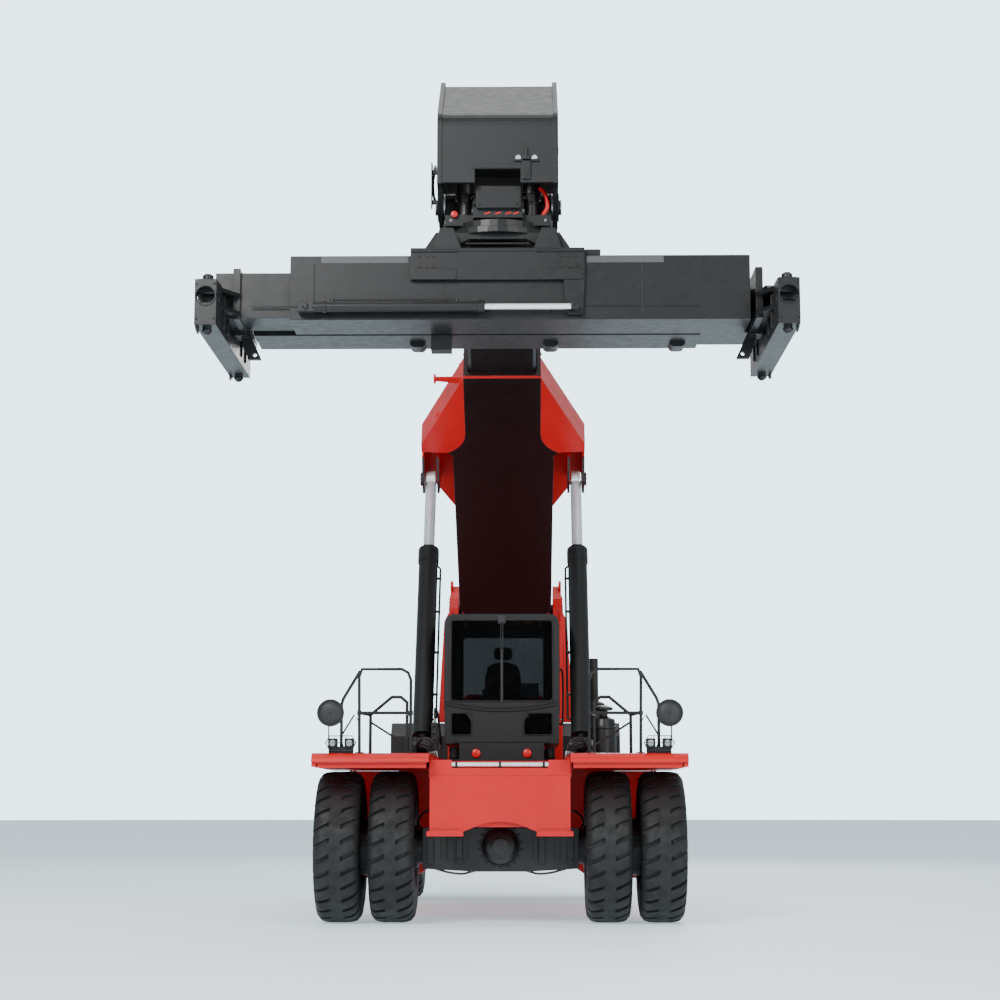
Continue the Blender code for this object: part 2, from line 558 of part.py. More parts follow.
def make_outer_boom():
    side_view = [(-OUTER_LENGTH, OUTER_LOW), (0.10, OUTER_LOW), (0.30, -0.20), (0.30, 0.20), (-0.5, OUTER_TOP),
                 (-OUTER_LENGTH, OUTER_TOP)]
    body = prism("X", side_view, -OUTER_HALF, OUTER_HALF)
    boss = bar((-0.62, 0, 0), (0.62, 0, 0), 0.24, 28)
    fillet = arc((OUTER_HALF + 0.40, -4.42), 0.40, 180, 115, 5)
    half_plan = [(OUTER_HALF, -OUTER_LENGTH + 0.02)] + fillet + [(FLANGE_HALF, -3.98), (FLANGE_HALF, -0.6),
                                                                (OUTER_HALF, -0.3)]
    plan = half_plan + [(-x, y) for x, y in reversed(half_plan)]
    flange = prism("Z", plan, OUTER_LOW - 0.03, OUTER_LOW + 0.012)
    wings = []
    along, above = LIFT_EYE
    for side in (1, -1):
        outline = [(side * (OUTER_HALF - 0.03), -5.42), (side * OUTER_HALF, -5.48), (side * 1.05, -4.22),
                   (side * 1.05, -4.07), (side * 0.62, -4.05), (side * (OUTER_HALF - 0.03), -4.05)]
        wings.append(prism("Z", outline, OUTER_LOW - 0.028, -0.05))
        top = [(side * (OUTER_HALF - 0.03), -4.08), (side * 1.05, -4.09), (side * 1.05, -3.40),
               (side * (OUTER_HALF - 0.03), -2.2)]
        wings.append(prism("Z", top, -0.13, -0.052))
        for near, far in ((0.83, 0.86), (1.02, 1.05)):
            lug = [(-along - 0.36, -0.06), (-along - 0.36, -0.42), (-along - 0.12, above - 0.14),
                   (-along + 0.12, above - 0.14), (-along + 0.30, -0.30), (-along + 0.40, -0.06)]
            wings.append(prism("X", lug, *span(side, near, far)))
        wings.append(bar((side * 1.045, -along, above), (side * 1.075, -along, above), 0.09, 24))
    rest = join(body, boss, flange, *wings)
    hollow = box((-INNER_HALF - 0.008, INNER_HALF + 0.008), (-OUTER_LENGTH - 0.1, -0.62),
                 (INNER_LOW - RUN_GAP, INNER_TOP + RUN_GAP))
    bore = bar((-0.7, 0, 0), (0.7, 0, 0), PIVOT_PIN + RUN_GAP, 28)
    place_boom(cut(rest, hollow, bore), "outer_boom", "red_paint")


def make_inner_boom():
    section = [(-INNER_HALF, INNER_LOW + 0.04), (-INNER_HALF + 0.04, INNER_LOW), (INNER_HALF - 0.04, INNER_LOW),
               (INNER_HALF, INNER_LOW + 0.04), (INNER_HALF, INNER_TOP - 0.04), (INNER_HALF - 0.04, INNER_TOP),
               (-INNER_HALF + 0.04, INNER_TOP), (-INNER_HALF, INNER_TOP - 0.04)]
    beam = prism("Y", section, -INNER_END, -INNER_TAIL)
    place_boom(beam, "inner_boom", "black_paint")


def make_boom_head():
    """The nose that carries the spreader: two cheeks, a bent cover and the beam's end box."""
    pin_u, pin_z = HEAD_PIN
    low_end = boom_point(INNER_END - 0.9, INNER_LOW + 0.05)
    top_end = boom_point(INNER_END - 0.9, INNER_TOP + 0.09)
    brow = arc((-2.52, 8.36), 0.20, 180, 125, 4)
    cheek = [low_end, (-1.45, 7.72), (pin_u + 0.25, pin_z - 0.20), (pin_u, pin_z - 0.24),
             (pin_u - 0.25, pin_z - 0.18), (-2.62, 7.69), (-2.72, 7.72)] + brow + [(-1.86, 9.13), (-1.72, 9.19), top_end]
    cheek = [(at(u), z) for u, z in cheek]
    cheeks = [prism("X", cheek, *span(side, HEAD_HALF - HEAD_PLATE, HEAD_HALF)) for side in (1, -1)]
    outside = [(-2.71, 7.73)] + [(u + 0.012, z - 0.012) for u, z in brow] + [(-1.86, 9.09)]
    inside = [(-1.80, 9.03), (-2.56, 8.48), (-2.66, 8.30), (-2.66, 7.73)]
    cover = prism("X", [(at(u), z) for u, z in outside + inside], -HEAD_HALF + 0.01, HEAD_HALF - 0.01)
    corners = [boom_point(INNER_END + SEAT_GAP, INNER_LOW + 0.01), boom_point(INNER_END + 0.35, INNER_LOW + 0.06),
               boom_point(INNER_END + 0.55, INNER_TOP - 0.02), boom_point(INNER_END + SEAT_GAP, INNER_TOP - 0.01)]
    block = prism("X", [(at(u), z) for u, z in corners], -HEAD_HALF + 0.02, HEAD_HALF - 0.02)
    mouth = box((-0.24, 0.24), (at(-2.9), at(-2.6)), (7.5, 7.88))
    washers = [bar((side * (HEAD_HALF - 0.01), at(pin_u), pin_z), (side * (HEAD_HALF + 0.015), at(pin_u), pin_z),
                   0.15, 28) for side in (1, -1)]
    bores = [bar((side * 0.5, at(pin_u), pin_z), (side * 0.8, at(pin_u), pin_z), 0.08 + RUN_GAP, 28)
             for side in (1, -1)]
    head = cut(join(*cheeks, cover, block, *washers), mouth, *bores)
    name_part(head, "boom_head", "head_grey")


def make_lift_cylinder(label, side):
    eye_u, eye_z = boom_point(*LIFT_EYE)
    base = Vector((side * LIFT_X, at(LIFT_BASE[0]), LIFT_BASE[1]))
    eye = Vector((side * LIFT_X, at(eye_u), eye_z))
    way = (eye - base).normalized()
    x_range = (base.x - 0.055, base.x + 0.055)
    length, bore_radius = LIFT_BARREL_LENGTH, LIFT_ROD + RUN_GAP
    profile = [(0, 0.125), (LIFT_BARREL, 0.125), (LIFT_BARREL, length - 0.12), (LIFT_BARREL + 0.012, length - 0.12),
               (LIFT_BARREL + 0.012, length + 0.03), (bore_radius, length + 0.03), (bore_radius, 0.30), (0, 0.30)]
    barrel = turned(profile, base, way, 30)
    foot = bar((x_range[0], base.y, base.z), (x_range[1], base.y, base.z), 0.10, 26)
    bore = bar((x_range[0] - 0.1, base.y, base.z), (x_range[1] + 0.1, base.y, base.z), 0.045 + RUN_GAP, 28)
    neck = bar(base + way * 0.06, base + way * 0.2, 0.052, 24)
    name_part(cut(join(barrel, foot, neck), bore), "lift_barrel_" + label, "black_paint", base)
    rod = bar(base + way * 1.45, eye - way * 0.05, LIFT_ROD, 28)
    rod_eye = bar((x_range[0], eye.y, eye.z), (x_range[1], eye.y, eye.z), 0.105, 32)
    name_part(join(rod, rod_eye), "lift_rod_" + label, "chrome", eye)
    plate = box((base.x - 0.13, base.x + 0.13), (base.y - 0.20, base.y + 0.20),
                (DECK_TOP + SEAT_GAP, DECK_TOP + 0.022))
    cheek = [(base.y - 0.18, DECK_TOP + 0.01), (base.y + 0.18, DECK_TOP + 0.01),
             *arc((base.y, base.z), 0.10, 0, 180, 8)]
    cheeks = [prism("X", cheek, *sorted((base.x + s * 0.061, base.x + s * 0.095))) for s in (1, -1)]
    pin = bar((base.x - 0.12, base.y, base.z), (base.x + 0.12, base.y, base.z), 0.045, 28)
    name_part(join(plate, *cheeks, pin), "lift_bracket_" + label, "black_paint")


# ---- spreader --------------------------------------------------------------------
SPREADER_Y = HEAD_PIN[0]
BEARING_Z = 7.275
SLAB_LOW, SLAB_TOP = CHANNEL_TOP + RUN_GAP, 7.00


def make_hanger():
    """Swings on the head's pins and carries the slewing ring."""
    y, z = at(SPREADER_Y), HEAD_PIN[1]
    trunnion = bar((-HEAD_HALF - 0.03, y, z), (HEAD_HALF + 0.03, y, z), 0.08, 28)
    ears = [prism("X", [(y - 0.17, 7.36), (y + 0.17, 7.36), *arc((y, z), 0.15, 0, 180, 8)],
                  *span(side, 0.46, 0.56)) for side in (1, -1)]
    deck = box((-0.56, 0.56), (y - 0.36, y + 0.36), (7.34, 7.46))
    ring = bar((0, y, BEARING_Z), (0, y, 7.37), 0.52, 36)
    motors = [bar((side * 0.35, y - 0.20, 7.40), (side * 0.35, y - 0.20, 7.86), 0.085, 24) for side in (1, -1)]
    valve_box = box((-0.22, 0.23), (y - 0.50, y - 0.30), (7.50, 7.72))
    shelf = box((-0.26, 0.26), (y - 0.46, y - 0.2), (7.40, 7.52))
    name_part(join(deck, ring, trunnion, *ears, *motors, valve_box, shelf), "spreader_hanger", "black_paint")


def make_rotator():
    """Turns under the slewing ring and straddles the spreader's twin channels."""
    y = at(SPREADER_Y)
    flange = bar((0, y, 7.21), (0, y, BEARING_Z - RUN_GAP), 0.61, 36)
    legs = prism("Y", [(-0.72, SLAB_TOP - 0.02), (0.72, SLAB_TOP - 0.02), (0.56, 7.22), (-0.56, 7.22)],
                 y - 0.52, y + 0.52)
    arch = prism("Y", [(-0.42, SLAB_TOP), (0.42, SLAB_TOP), (0.40, 7.10), (0.30, 7.15), (-0.30, 7.15),
                       (-0.40, 7.10)], y - 0.6, y + 0.6)
    slab = box((-0.90, 0.90), (y - CHANNEL_OUT - 0.05, y + CHANNEL_OUT + 0.05), (SLAB_LOW, SLAB_TOP))
    skirts = [box((-0.90, 0.90), sorted((y + s * (CHANNEL_OUT + 0.008), y + s * (CHANNEL_OUT + 0.05))),
                  (6.66, SLAB_TOP - 0.01)) for s in (1, -1)]
    braces = [prism("Y", [(-0.74, 6.72), (0.74, 6.72), (0.60, 7.215), (0.46, 7.215), (0.36, 6.96),
                          (-0.36, 6.96), (-0.46, 7.215), (-0.60, 7.215)],
                    *sorted((y + s * (CHANNEL_OUT + 0.045), y + s * 0.49))) for s in (1, -1)]
    for brace in braces:
        clear = box((-1.0, 1.0), (y - CHANNEL_OUT - 0.008, y + CHANNEL_OUT + 0.008), (6.5, SLAB_LOW + 0.001))
        cut(brace, clear)
    lug = prism("Y", [(0.68, 6.70), (0.90, 6.70), (0.88, 6.29), (0.72, 6.29)],
                y - CHANNEL_OUT - 0.05, y - CHANNEL_OUT - 0.012)
    stub = bar((0.80, y - CHANNEL_OUT - 0.16, SHIFT_Z), (0.80, y - CHANNEL_OUT - 0.02, SHIFT_Z), 0.045, 24)
    body = join(cut(legs, arch), flange, slab, *skirts, *braces, lug, stub)
    name_part(body, "rotator", "black_paint")


SHIFT_Z = 6.36
SHIFT_OUT = CHANNEL_OUT + 0.11


def make_shift_cylinder():
    y = at(SPREADER_Y) - SHIFT_OUT
    rod = bar((-0.98, y, SHIFT_Z), (0.755 - SEAT_GAP, y, SHIFT_Z), 0.030, 28)
    name_part(rod, "side_shift_rod", "chrome")
    barrel = bar((-1.90, y, SHIFT_Z), (-0.14, y, SHIFT_Z), 0.052, 28)
    hollow = bar((-1.84, y, SHIFT_Z), (0.1, y, SHIFT_Z), 0.030 + RUN_GAP, 28)
    foot = box((-2.05, -1.88), (y - 0.04, at(SPREADER_Y) - CHANNEL_OUT - SEAT_GAP), (SHIFT_Z - 0.05, SHIFT_Z + 0.05))
    name_part(cut(join(barrel, foot), hollow), "side_shift_barrel", "black_paint")


def channel(side):
    """One of the twin boxes, side -1 in front: open at the end where its beam slides."""
    y = at(SPREADER_Y)
    x_range = sorted((side * CHANNEL_SHORT, -side * CHANNEL_LONG))
    y_range = sorted((y + side * CHANNEL_OUT, y + side * CHANNEL_IN))
    shell = box(x_range, y_range, (CHANNEL_LOW, CHANNEL_TOP))
    hollow = box(sorted((side * (CHANNEL_SHORT + 0.1), -side * (CHANNEL_LONG - 0.04))),
                 grown(y_range, -CHANNEL_PLATE), (CHANNEL_LOW + CHANNEL_PLATE, CHANNEL_TOP - CHANNEL_PLATE))
    return cut(shell, hollow)


def make_spreader_frame():
    y = at(SPREADER_Y)
    ties = [box((x - 0.16, x + 0.16), (y - CHANNEL_IN - 0.01, y + CHANNEL_IN + 0.01),
                (CHANNEL_LOW + 0.05, CHANNEL_TOP - 0.05)) for x in (-1.6, 0, 1.6)]
    name_part(join(channel(-1), channel(1), *ties), "spreader_frame", "black_paint")


def make_beam(label, side):
    """Telescopic beam with its end beam and two twistlocks; the right side's runs in front."""
    y = at(SPREADER_Y)
    row = 1 if side > 0 else -1
    slack = CHANNEL_PLATE + 0.007
    y_range = sorted((y + row * (CHANNEL_OUT - slack), y + row * (CHANNEL_IN + slack)))
    low, top = CHANNEL_LOW + CHANNEL_PLATE + RUN_GAP, CHANNEL_TOP - CHANNEL_PLATE - RUN_GAP
    beam = box(span(side, -1.85, CORNER_X), y_range, (low, BEAM_TOP - 0.04))
    pad = box(span(side, -1.85, -1.55), y_range, (low + 0.1, top))
    pieces = [beam, pad]
    long_half = CORNER_Y + 0.14
    end_view = [(y - long_half, END_BEAM_LOW), (y + long_half, END_BEAM_LOW), (y + long_half, END_BEAM_TOP),
                (y + 0.62, END_BEAM_TOP + 0.02), (y + 0.30, low + 0.42), (y - 0.30, low + 0.42),
                (y - 0.62, END_BEAM_TOP + 0.02), (y - long_half, END_BEAM_TOP)]
    pieces.append(prism("X", end_view, *span(side, CORNER_X - END_BEAM_HALF, CORNER_X + END_BEAM_HALF)))
    near, far = side * 2.66, side * (CORNER_X - 0.05)
    gusset = [(near, y - CHANNEL_OUT), (far, y - 1.02), (far, y + 1.02), (near, y + CHANNEL_OUT)]
    pieces.append(prism("Z", gusset, low + 0.02, low + 0.06))
    pieces.append(prism("Z", gusset, END_BEAM_TOP - 0.04, END_BEAM_TOP))
    collar_x = span(side, 2.665, 2.74)
    pieces.append(box(collar_x, (y - CHANNEL_OUT, y + CHANNEL_OUT), (low - 0.02, BEAM_TOP)))
    lug = prism("Y", [(side * 2.52, 5.98), (side * 2.66, 5.98), (side * 2.78, low + 0.05), (side * 2.68, low + 0.05)],
                y - 0.03, y + 0.03)
    neck = box(span(side, 2.66, 2.80), (y - 0.12, y + 0.12), (low - 0.06, low + 0.05))
    pieces += [neck, lug]
    for s in (1, -1):
        x, lock_y = side * CORNER_X, y + s * CORNER_Y
        pieces.append(bar((x, lock_y, END_BEAM_LOW + 0.02), (x, lock_y, END_BEAM_LOW - 0.035), 0.045, 20))
        pieces.append(turned([(0, 5.985), (0.02, 5.987), (0.052, 6.015), (0.052, 6.035), (0, 6.035)],
                             (x, lock_y, 0), (0, 0, 1), 20))
    body = join(*pieces)
    holes = [bar((side * CORNER_X, y + s * (long_half - 0.10), 6.36), (side * CORNER_X, y + s * (long_half + 0.2), 6.36),
                 0.095, 24) for s in (1, -1)]
    port = [bar((side * (CORNER_X - 0.3), y + s * CORNER_Y, 6.36), (side * (CORNER_X + 0.3), y + s * CORNER_Y, 6.36),
                0.06, 20) for s in (1, -1)]
    lug_hole = bar((side * 2.59, y - 0.1, 6.03), (side * 2.59, y + 0.1, 6.03), 0.022, 16)
    name_part(cut(body, *holes, *port, lug_hole), "telescopic_beam_" + label, "black_paint")


def main():
    for existing in list(bpy.data.objects):
        bpy.data.objects.remove(existing)
    make_frame()
    make_nose()
    make_front_axle()
    make_engine()
    make_counterweight()
    make_pivot_pin()
    make_rear_axle()
    make_tank(1, "fuel_tank")
    make_tank(-1, "hydraulic_tank")
    outer_x = OVERALL_WIDTH / 2 - TYRE_WIDTH / 2
    inner_x = outer_x - TYRE_WIDTH - TWIN_GAP
    for label, side in SIDES.items():
        make_deck(label, side)
        make_steps(label, side)
        make_handrail(label, side)
        make_lamps(label, side)
        make_tower(label, side)
        make_tyre("front_outer_tyre_" + label, side * outer_x, 0)
        make_tyre("front_inner_tyre_" + label, side * inner_x, 0)
        make_front_rim(label, side)
        make_knuckle(label, side)
        make_tyre("rear_tyre_" + label, side * REAR_WHEEL_X, WHEELBASE)
        make_rear_rim(label, side)
        make_lift_cylinder(label, side)
        make_beam(label, side)
    make_cab()
    make_cab_glass()
    make_door()
    make_cab_inside()
    make_outer_boom()
    make_inner_boom()
    make_boom_head()
    make_hanger()
    make_rotator()
    make_shift_cylinder()
    make_spreader_frame()


main()
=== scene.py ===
"""Looks of the reach stacker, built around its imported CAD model: procedural materials, treaded
tyres, seat and controls, hoses and pipes, lamps, glass trim, fasteners and other fittings.

Metres, in the CAD model's frame: +Z up, +X the machine's left side, the machine faces -Y.
"""

import json
from math import cos, exp, pi, radians, sin

import bmesh
import bpy
from mathutils import Matrix, Vector


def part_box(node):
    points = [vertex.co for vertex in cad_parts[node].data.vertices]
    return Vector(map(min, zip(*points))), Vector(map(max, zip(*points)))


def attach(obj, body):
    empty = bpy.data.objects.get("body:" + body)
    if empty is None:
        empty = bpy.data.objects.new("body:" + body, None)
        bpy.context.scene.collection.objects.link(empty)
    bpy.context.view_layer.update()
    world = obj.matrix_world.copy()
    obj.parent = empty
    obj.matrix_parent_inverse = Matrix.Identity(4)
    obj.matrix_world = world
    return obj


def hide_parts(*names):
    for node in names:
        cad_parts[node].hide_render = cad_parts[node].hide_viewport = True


SIDES = {"left": 1, "right": -1}


# ---- materials -----------------------------------------------------------------
class Finish:
    """A procedural material under construction, with textures in the object's own space."""

    def __init__(self, name, roughness, metallic=0.0, slot=None):
        self.material = bpy.data.materials.new(name)
        self.material.use_nodes = True
        self.tree = self.material.node_tree
        self.surface = self.tree.nodes["Principled BSDF"]
        self.set("Roughness", roughness)
        self.set("Metallic", metallic)
        self.place = self.add("ShaderNodeTexCoord").outputs["Object"]
        self.material["slot"] = slot or ""

    def add(self, kind, inputs=None, **settings):
        node = self.tree.nodes.new(kind)
        for key, value in settings.items():
            setattr(node, key, value)
        for key, value in (inputs or {}).items():
            if isinstance(value, bpy.types.NodeSocket):
                self.tree.links.new(value, node.inputs[key])
            else:
                node.inputs[key].default_value = value
        return node

    def set(self, socket, value):
        """A constant goes on the shader's own socket, and a texture is linked to it."""
        if isinstance(value, bpy.types.NodeSocket):
            self.tree.links.new(value, self.surface.inputs[socket])
        else:
            self.surface.inputs[socket].default_value = value

    def ramp(self, value, low, high, to_low=0.0, to_high=1.0):
        return self.add("ShaderNodeMapRange", {"Value": value, "From Min": low, "From Max": high,
                                               "To Min": to_low, "To Max": to_high}).outputs["Result"]

    def noise(self, scale, low=0.35, high=0.65, stretch=(1, 1, 1), detail=4.0):
        """Noise from 0 to 1, with its contrast raised between low and high."""
        mapping = self.add("ShaderNodeMapping", {"Vector": self.place, "Scale": stretch})
        texture = self.add("ShaderNodeTexNoise", {"Vector": mapping.outputs["Vector"], "Scale": scale,
                                                  "Detail": detail})
        return self.ramp(texture.outputs["Fac"], low, high)

    def waves(self, scale, **settings):
        return self.add("ShaderNodeTexWave", {"Vector": self.place, "Scale": scale}, **settings).outputs["Fac"]

    def cells(self, scale):
        return self.add("ShaderNodeTexVoronoi", {"Vector": self.place, "Scale": scale}).outputs["Distance"]

    def maths(self, operation, first, second):
        return self.add("ShaderNodeMath", {0: first, 1: second}, operation=operation).outputs["Value"]

    def mix(self, factor, first, second):
        """Colour that goes from first to second as factor goes from 0 to 1."""
        sockets = [(*value, 1) if isinstance(value, tuple) else value for value in (first, second)]
        return self.add("ShaderNodeMix", {0: factor, 6: sockets[0], 7: sockets[1]}, data_type="RGBA").outputs[2]

    def edges(self, radius):
        """1 on edges, where a rounded normal turns away from the true one. Also rounds them."""
        rounded = self.add("ShaderNodeBevel", {"Radius": radius}, samples=4).outputs["Normal"]
        true = self.add("ShaderNodeNewGeometry").outputs["Normal"]
        turn = self.add("ShaderNodeVectorMath", {0: rounded, 1: true}, operation="DOT_PRODUCT").outputs["Value"]
        return rounded, self.ramp(turn, 0.985, 0.80)

    def height(self):
        return self.add("ShaderNodeSeparateXYZ", {"Vector": self.place}).outputs["Z"]

    def bump(self, height, strength, distance, normal=None):
        inputs = {"Height": height, "Strength": strength, "Distance": distance}
        if normal:
            inputs["Normal"] = normal
        self.set("Normal", self.add("ShaderNodeBump", inputs).outputs["Normal"])


def enamel(name, colour, shade, wear_and_highlight_colour, roughness, slot, painted_shade_side=None):
    """Sprayed paint: slight cloudiness, orange peel, thin dust low down, and edges lightened both as worn paint and
    as a painted highlight.

    The last argument is a colour and a function that gives its share: painted shade on the boom's underside.
    """
    finish = Finish(name, roughness, slot=slot)
    rounded, edge = finish.edges(0.012)
    base = finish.mix(finish.noise(0.9, 0.3, 0.7), colour, shade)
    # Painted shade: the boom's underside is darkened toward a shade colour.
    if painted_shade_side:
        base = finish.mix(painted_shade_side[1](finish), base, painted_shade_side[0])
    low_down = finish.ramp(finish.height(), 1.5, 0.1)
    dust = finish.maths("MULTIPLY", finish.maths("MULTIPLY", low_down, finish.noise(6.0, 0.45, 0.75)), 0.35)
    base = finish.mix(dust, base, (0.06, 0.050, 0.044))
    # Edges lighten toward the edge colour: partly worn paint, partly a painted highlight.
    wear_and_highlight_mask = finish.maths("MULTIPLY", edge, finish.noise(3.0, 0.25, 0.75))
    finish.set("Base Color", finish.mix(finish.maths("MULTIPLY", wear_and_highlight_mask, 0.55), base, wear_and_highlight_colour))
    grain = finish.noise(11.0, 0.2, 0.8)
    finish.set("Roughness", finish.ramp(grain, 0, 1, roughness - 0.05, roughness + 0.10))
    finish.bump(finish.noise(160.0, 0.2, 0.8), 0.06, 0.002, rounded)
    finish.set("Specular IOR Level", 0.35)
    finish.set("Coat Weight", 0.10)
    finish.set("Coat Roughness", 0.20)
    return finish.material


def painted_shade_below(height):
    """Share of painted shade: 1 where the boom lies lower than height over its centre line, and on the outer boom's
    tip.
    """
    def share(finish):
        above = finish.add("ShaderNodeVectorMath", {0: finish.place, 1: BOOM_UP}, operation="DOT_PRODUCT")
        level = finish.ramp(above.outputs["Value"], PIVOT.dot(BOOM_UP) + height + 0.0006, PIVOT.dot(BOOM_UP) + height)
        along = finish.add("ShaderNodeVectorMath", {0: finish.place, 1: -INWARD}, operation="DOT_PRODUCT")
        tip = PIVOT.dot(-INWARD) + OUTER_TIP - 0.012
        return finish.maths("MAXIMUM", level, finish.ramp(along.outputs["Value"], tip, tip + 0.002))
    return share


def metal(name, colour, worn, roughness, stretch, slot, metallic=1.0):
    """Bare or plated metal with fine marks along one direction."""
    finish = Finish(name, roughness, metallic, slot)
    marks = finish.noise(40.0, 0.3, 0.7, stretch)
    finish.set("Base Color", finish.mix(finish.noise(2.5), colour, worn))
    finish.set("Roughness", finish.ramp(marks, 0, 1, roughness, roughness + 0.10))
    finish.bump(marks, 0.05, 0.001)
    return finish.material


def cast_iron():
    finish = Finish("cast_iron", 0.6, 0.5, "iron")
    finish.set("Base Color", finish.mix(finish.noise(5.0), (0.016, 0.0155, 0.0155), (0.035, 0.029, 0.025)))
    finish.bump(finish.noise(90.0, 0.2, 0.8), 0.25, 0.003)
    return finish.material


def rubber(name, colour, dusty, scale, slot=None):
    finish = Finish(name, 0.7, slot=slot)
    dust = finish.maths("MULTIPLY", finish.noise(4.0, 0.35, 0.75), finish.ramp(finish.height(), 1.9, 0.0, 0.15, 0.85))
    finish.set("Base Color", finish.mix(dust, colour, dusty))
    finish.set("Roughness", finish.ramp(finish.noise(9.0), 0, 1, 0.58, 0.82))
    finish.bump(finish.noise(scale, 0.2, 0.8), 0.15, 0.002)
    return finish.material


def braided_hose():
    finish = Finish("hose_rubber", 0.55)
    weave = finish.add("ShaderNodeTexWave", {"Vector": finish.place, "Scale": 45.0, "Distortion": 1.5}).outputs["Fac"]
    finish.set("Base Color", finish.mix(finish.noise(12.0), (0.006, 0.006, 0.0065), (0.014, 0.0135, 0.013)))
    finish.bump(weave, 0.25, 0.001)
    return finish.material


def tinted_glass():
    finish = Finish("tinted_glass", 0.03, slot="glass")
    finish.set("Transmission Weight", 1.0)
    finish.set("IOR", 1.15)
    finish.set("Base Color", finish.mix(finish.noise(1.2), (0.27, 0.29, 0.30), (0.22, 0.24, 0.25)))
    finish.set("Roughness", finish.ramp(finish.noise(5.0, 0.4, 0.8), 0, 1, 0.015, 0.06))
    return finish.material


def lamp_lens():
    finish = Finish("lamp_lens", 0.08)
    ribs = finish.waves(30.0)
    finish.set("Base Color", finish.mix(ribs, (0.50, 0.52, 0.54), (0.75, 0.77, 0.79)))
    finish.set("Transmission Weight", 0.35)
    finish.bump(ribs, 0.5, 0.004)
    return finish.material


def coloured_lens(name, bright, deep):
    finish = Finish(name, 0.15)
    cells = finish.cells(110.0)
    finish.set("Base Color", finish.mix(finish.ramp(cells, 0.0, 0.6), bright, deep))
    finish.bump(cells, 0.4, 0.003)
    return finish.material


def seat_cloth():
    finish = Finish("seat_cloth", 0.85, slot="seat")
    across = finish.waves(110.0)
    along = finish.waves(110.0, bands_direction="Z")
    weave = finish.maths("MULTIPLY", across, along)
    finish.set("Base Color", finish.mix(weave, (0.009, 0.009, 0.010), (0.022, 0.022, 0.025)))
    finish.set("Sheen Weight", 0.3)
    finish.bump(weave, 0.4, 0.002)
    return finish.material


def moulded_plastic(name, colour, other):
    finish = Finish(name, 0.5)
    grain = finish.cells(240.0)
    finish.set("Base Color", finish.mix(finish.noise(8.0), colour, other))
    finish.set("Roughness", finish.ramp(grain, 0.0, 0.8, 0.42, 0.6))
    finish.bump(grain, 0.2, 0.001)
    return finish.material


def grip_plate():
    """Walkway plate with a field of raised studs."""
    finish = Finish("grip_plate", 0.6, slot="black_paint")
    studs = finish.add("ShaderNodeTexVoronoi", {"Vector": finish.place, "Scale": 26.0, "Randomness": 0.0})
    raised = finish.ramp(studs.outputs["Distance"], 0.32, 0.22)
    finish.set("Base Color", finish.mix(raised, (0.012, 0.0115, 0.0115), (0.035, 0.034, 0.033)))
    finish.bump(raised, 0.8, 0.006)
    return finish.material


def pale_floor():
    finish = Finish("floor", 0.6)
    finish.set("Base Color", finish.mix(finish.noise(0.05), (0.78, 0.88, 0.93), (0.82, 0.91, 0.95)))
    finish.set("Emission Color", (0.70, 0.90, 1.00, 1))
    finish.set("Emission Strength", 0.55)
    return finish.material


def shown(name, data):
    """A new object in the scene."""
    made = bpy.data.objects.new(name, data)
    bpy.context.scene.collection.objects.link(made)
    return made


# ---- shape tools ---------------------------------------------------------------
def block(mesh, low, high):
    """A box between two corners."""
    low, high = [min(pair) for pair in zip(low, high)], [max(pair) for pair in zip(low, high)]
    prism(mesh, "Z", [(low[0], low[1]), (high[0], low[1]), (high[0], high[1]), (low[0], high[1])], low[2], high[2])


def prism(mesh, axis, outline, low, high, placed=None):
    """An outline in the plane across an axis, drawn out from low to high."""
    order = {"X": (2, 0, 1), "Y": (0, 2, 1), "Z": (0, 1, 2)}[axis]
    rings = []
    for level in (low, high):
        places = [Vector([(first, second, level)[index] for index in order]) for first, second in outline]
        rings.append([mesh.verts.new(placed(place) if placed else place) for place in places])
    mesh.faces.new(rings[0])
    mesh.faces.new(rings[1][::-1])
    bridge(mesh, rings)


def bridge(mesh, rings, closed=False):
    """Faces between rings of vertices; a ring of one vertex closes to a point."""
    pairs = list(zip(rings, rings[1:])) + ([(rings[-1], rings[0])] if closed else [])
    for first, second in pairs:
        count = max(len(first), len(second))
        for step in range(count):
            after = (step + 1) % count
            corners = [first[step % len(first)], first[after % len(first)],
                       second[after % len(second)], second[step % len(second)]]
            mesh.faces.new(list(dict.fromkeys(corners)))


def turned(mesh, profile, centre, direction, sides=24):
    """A profile of (radius, distance along) turned about a direction; a ring unless it ends on the axis."""
    turn = Vector((0, 0, 1)).rotation_difference(Vector(direction)).to_matrix().to_4x4()
    turn = Matrix.Translation(centre) @ turn
    rings = []
    for radius, distance in profile:
        angles = [2 * pi * step / sides for step in range(sides if radius else 1)]
        rings.append([mesh.verts.new(turn @ Vector((radius * cos(a), radius * sin(a), distance))) for a in angles])
    bridge(mesh, rings, closed=len(rings[0]) > 1)


def bar(mesh, start, end, radius, sides=16):
    start, end = Vector(start), Vector(end)
    length = (end - start).length
    turned(mesh, rectangle(0, radius, 0, length), start, end - start, sides)


def curved(points, steps=7):
    """A smooth line through points."""
    points = [Vector(point) for point in points]
    ends = [2 * points[0] - points[1], *points, 2 * points[-1] - points[-2]]
    line = []
    for a, b, c, d in zip(ends, ends[1:], ends[2:], ends[3:]):
        for step in range(steps):
            t = step / steps
            line.append(0.5 * (2 * b + (c - a) * t + (2 * a - 5 * b + 4 * c - d) * t * t
                               + (3 * b - a - 3 * c + d) * t ** 3))
    return line + [points[-1]]


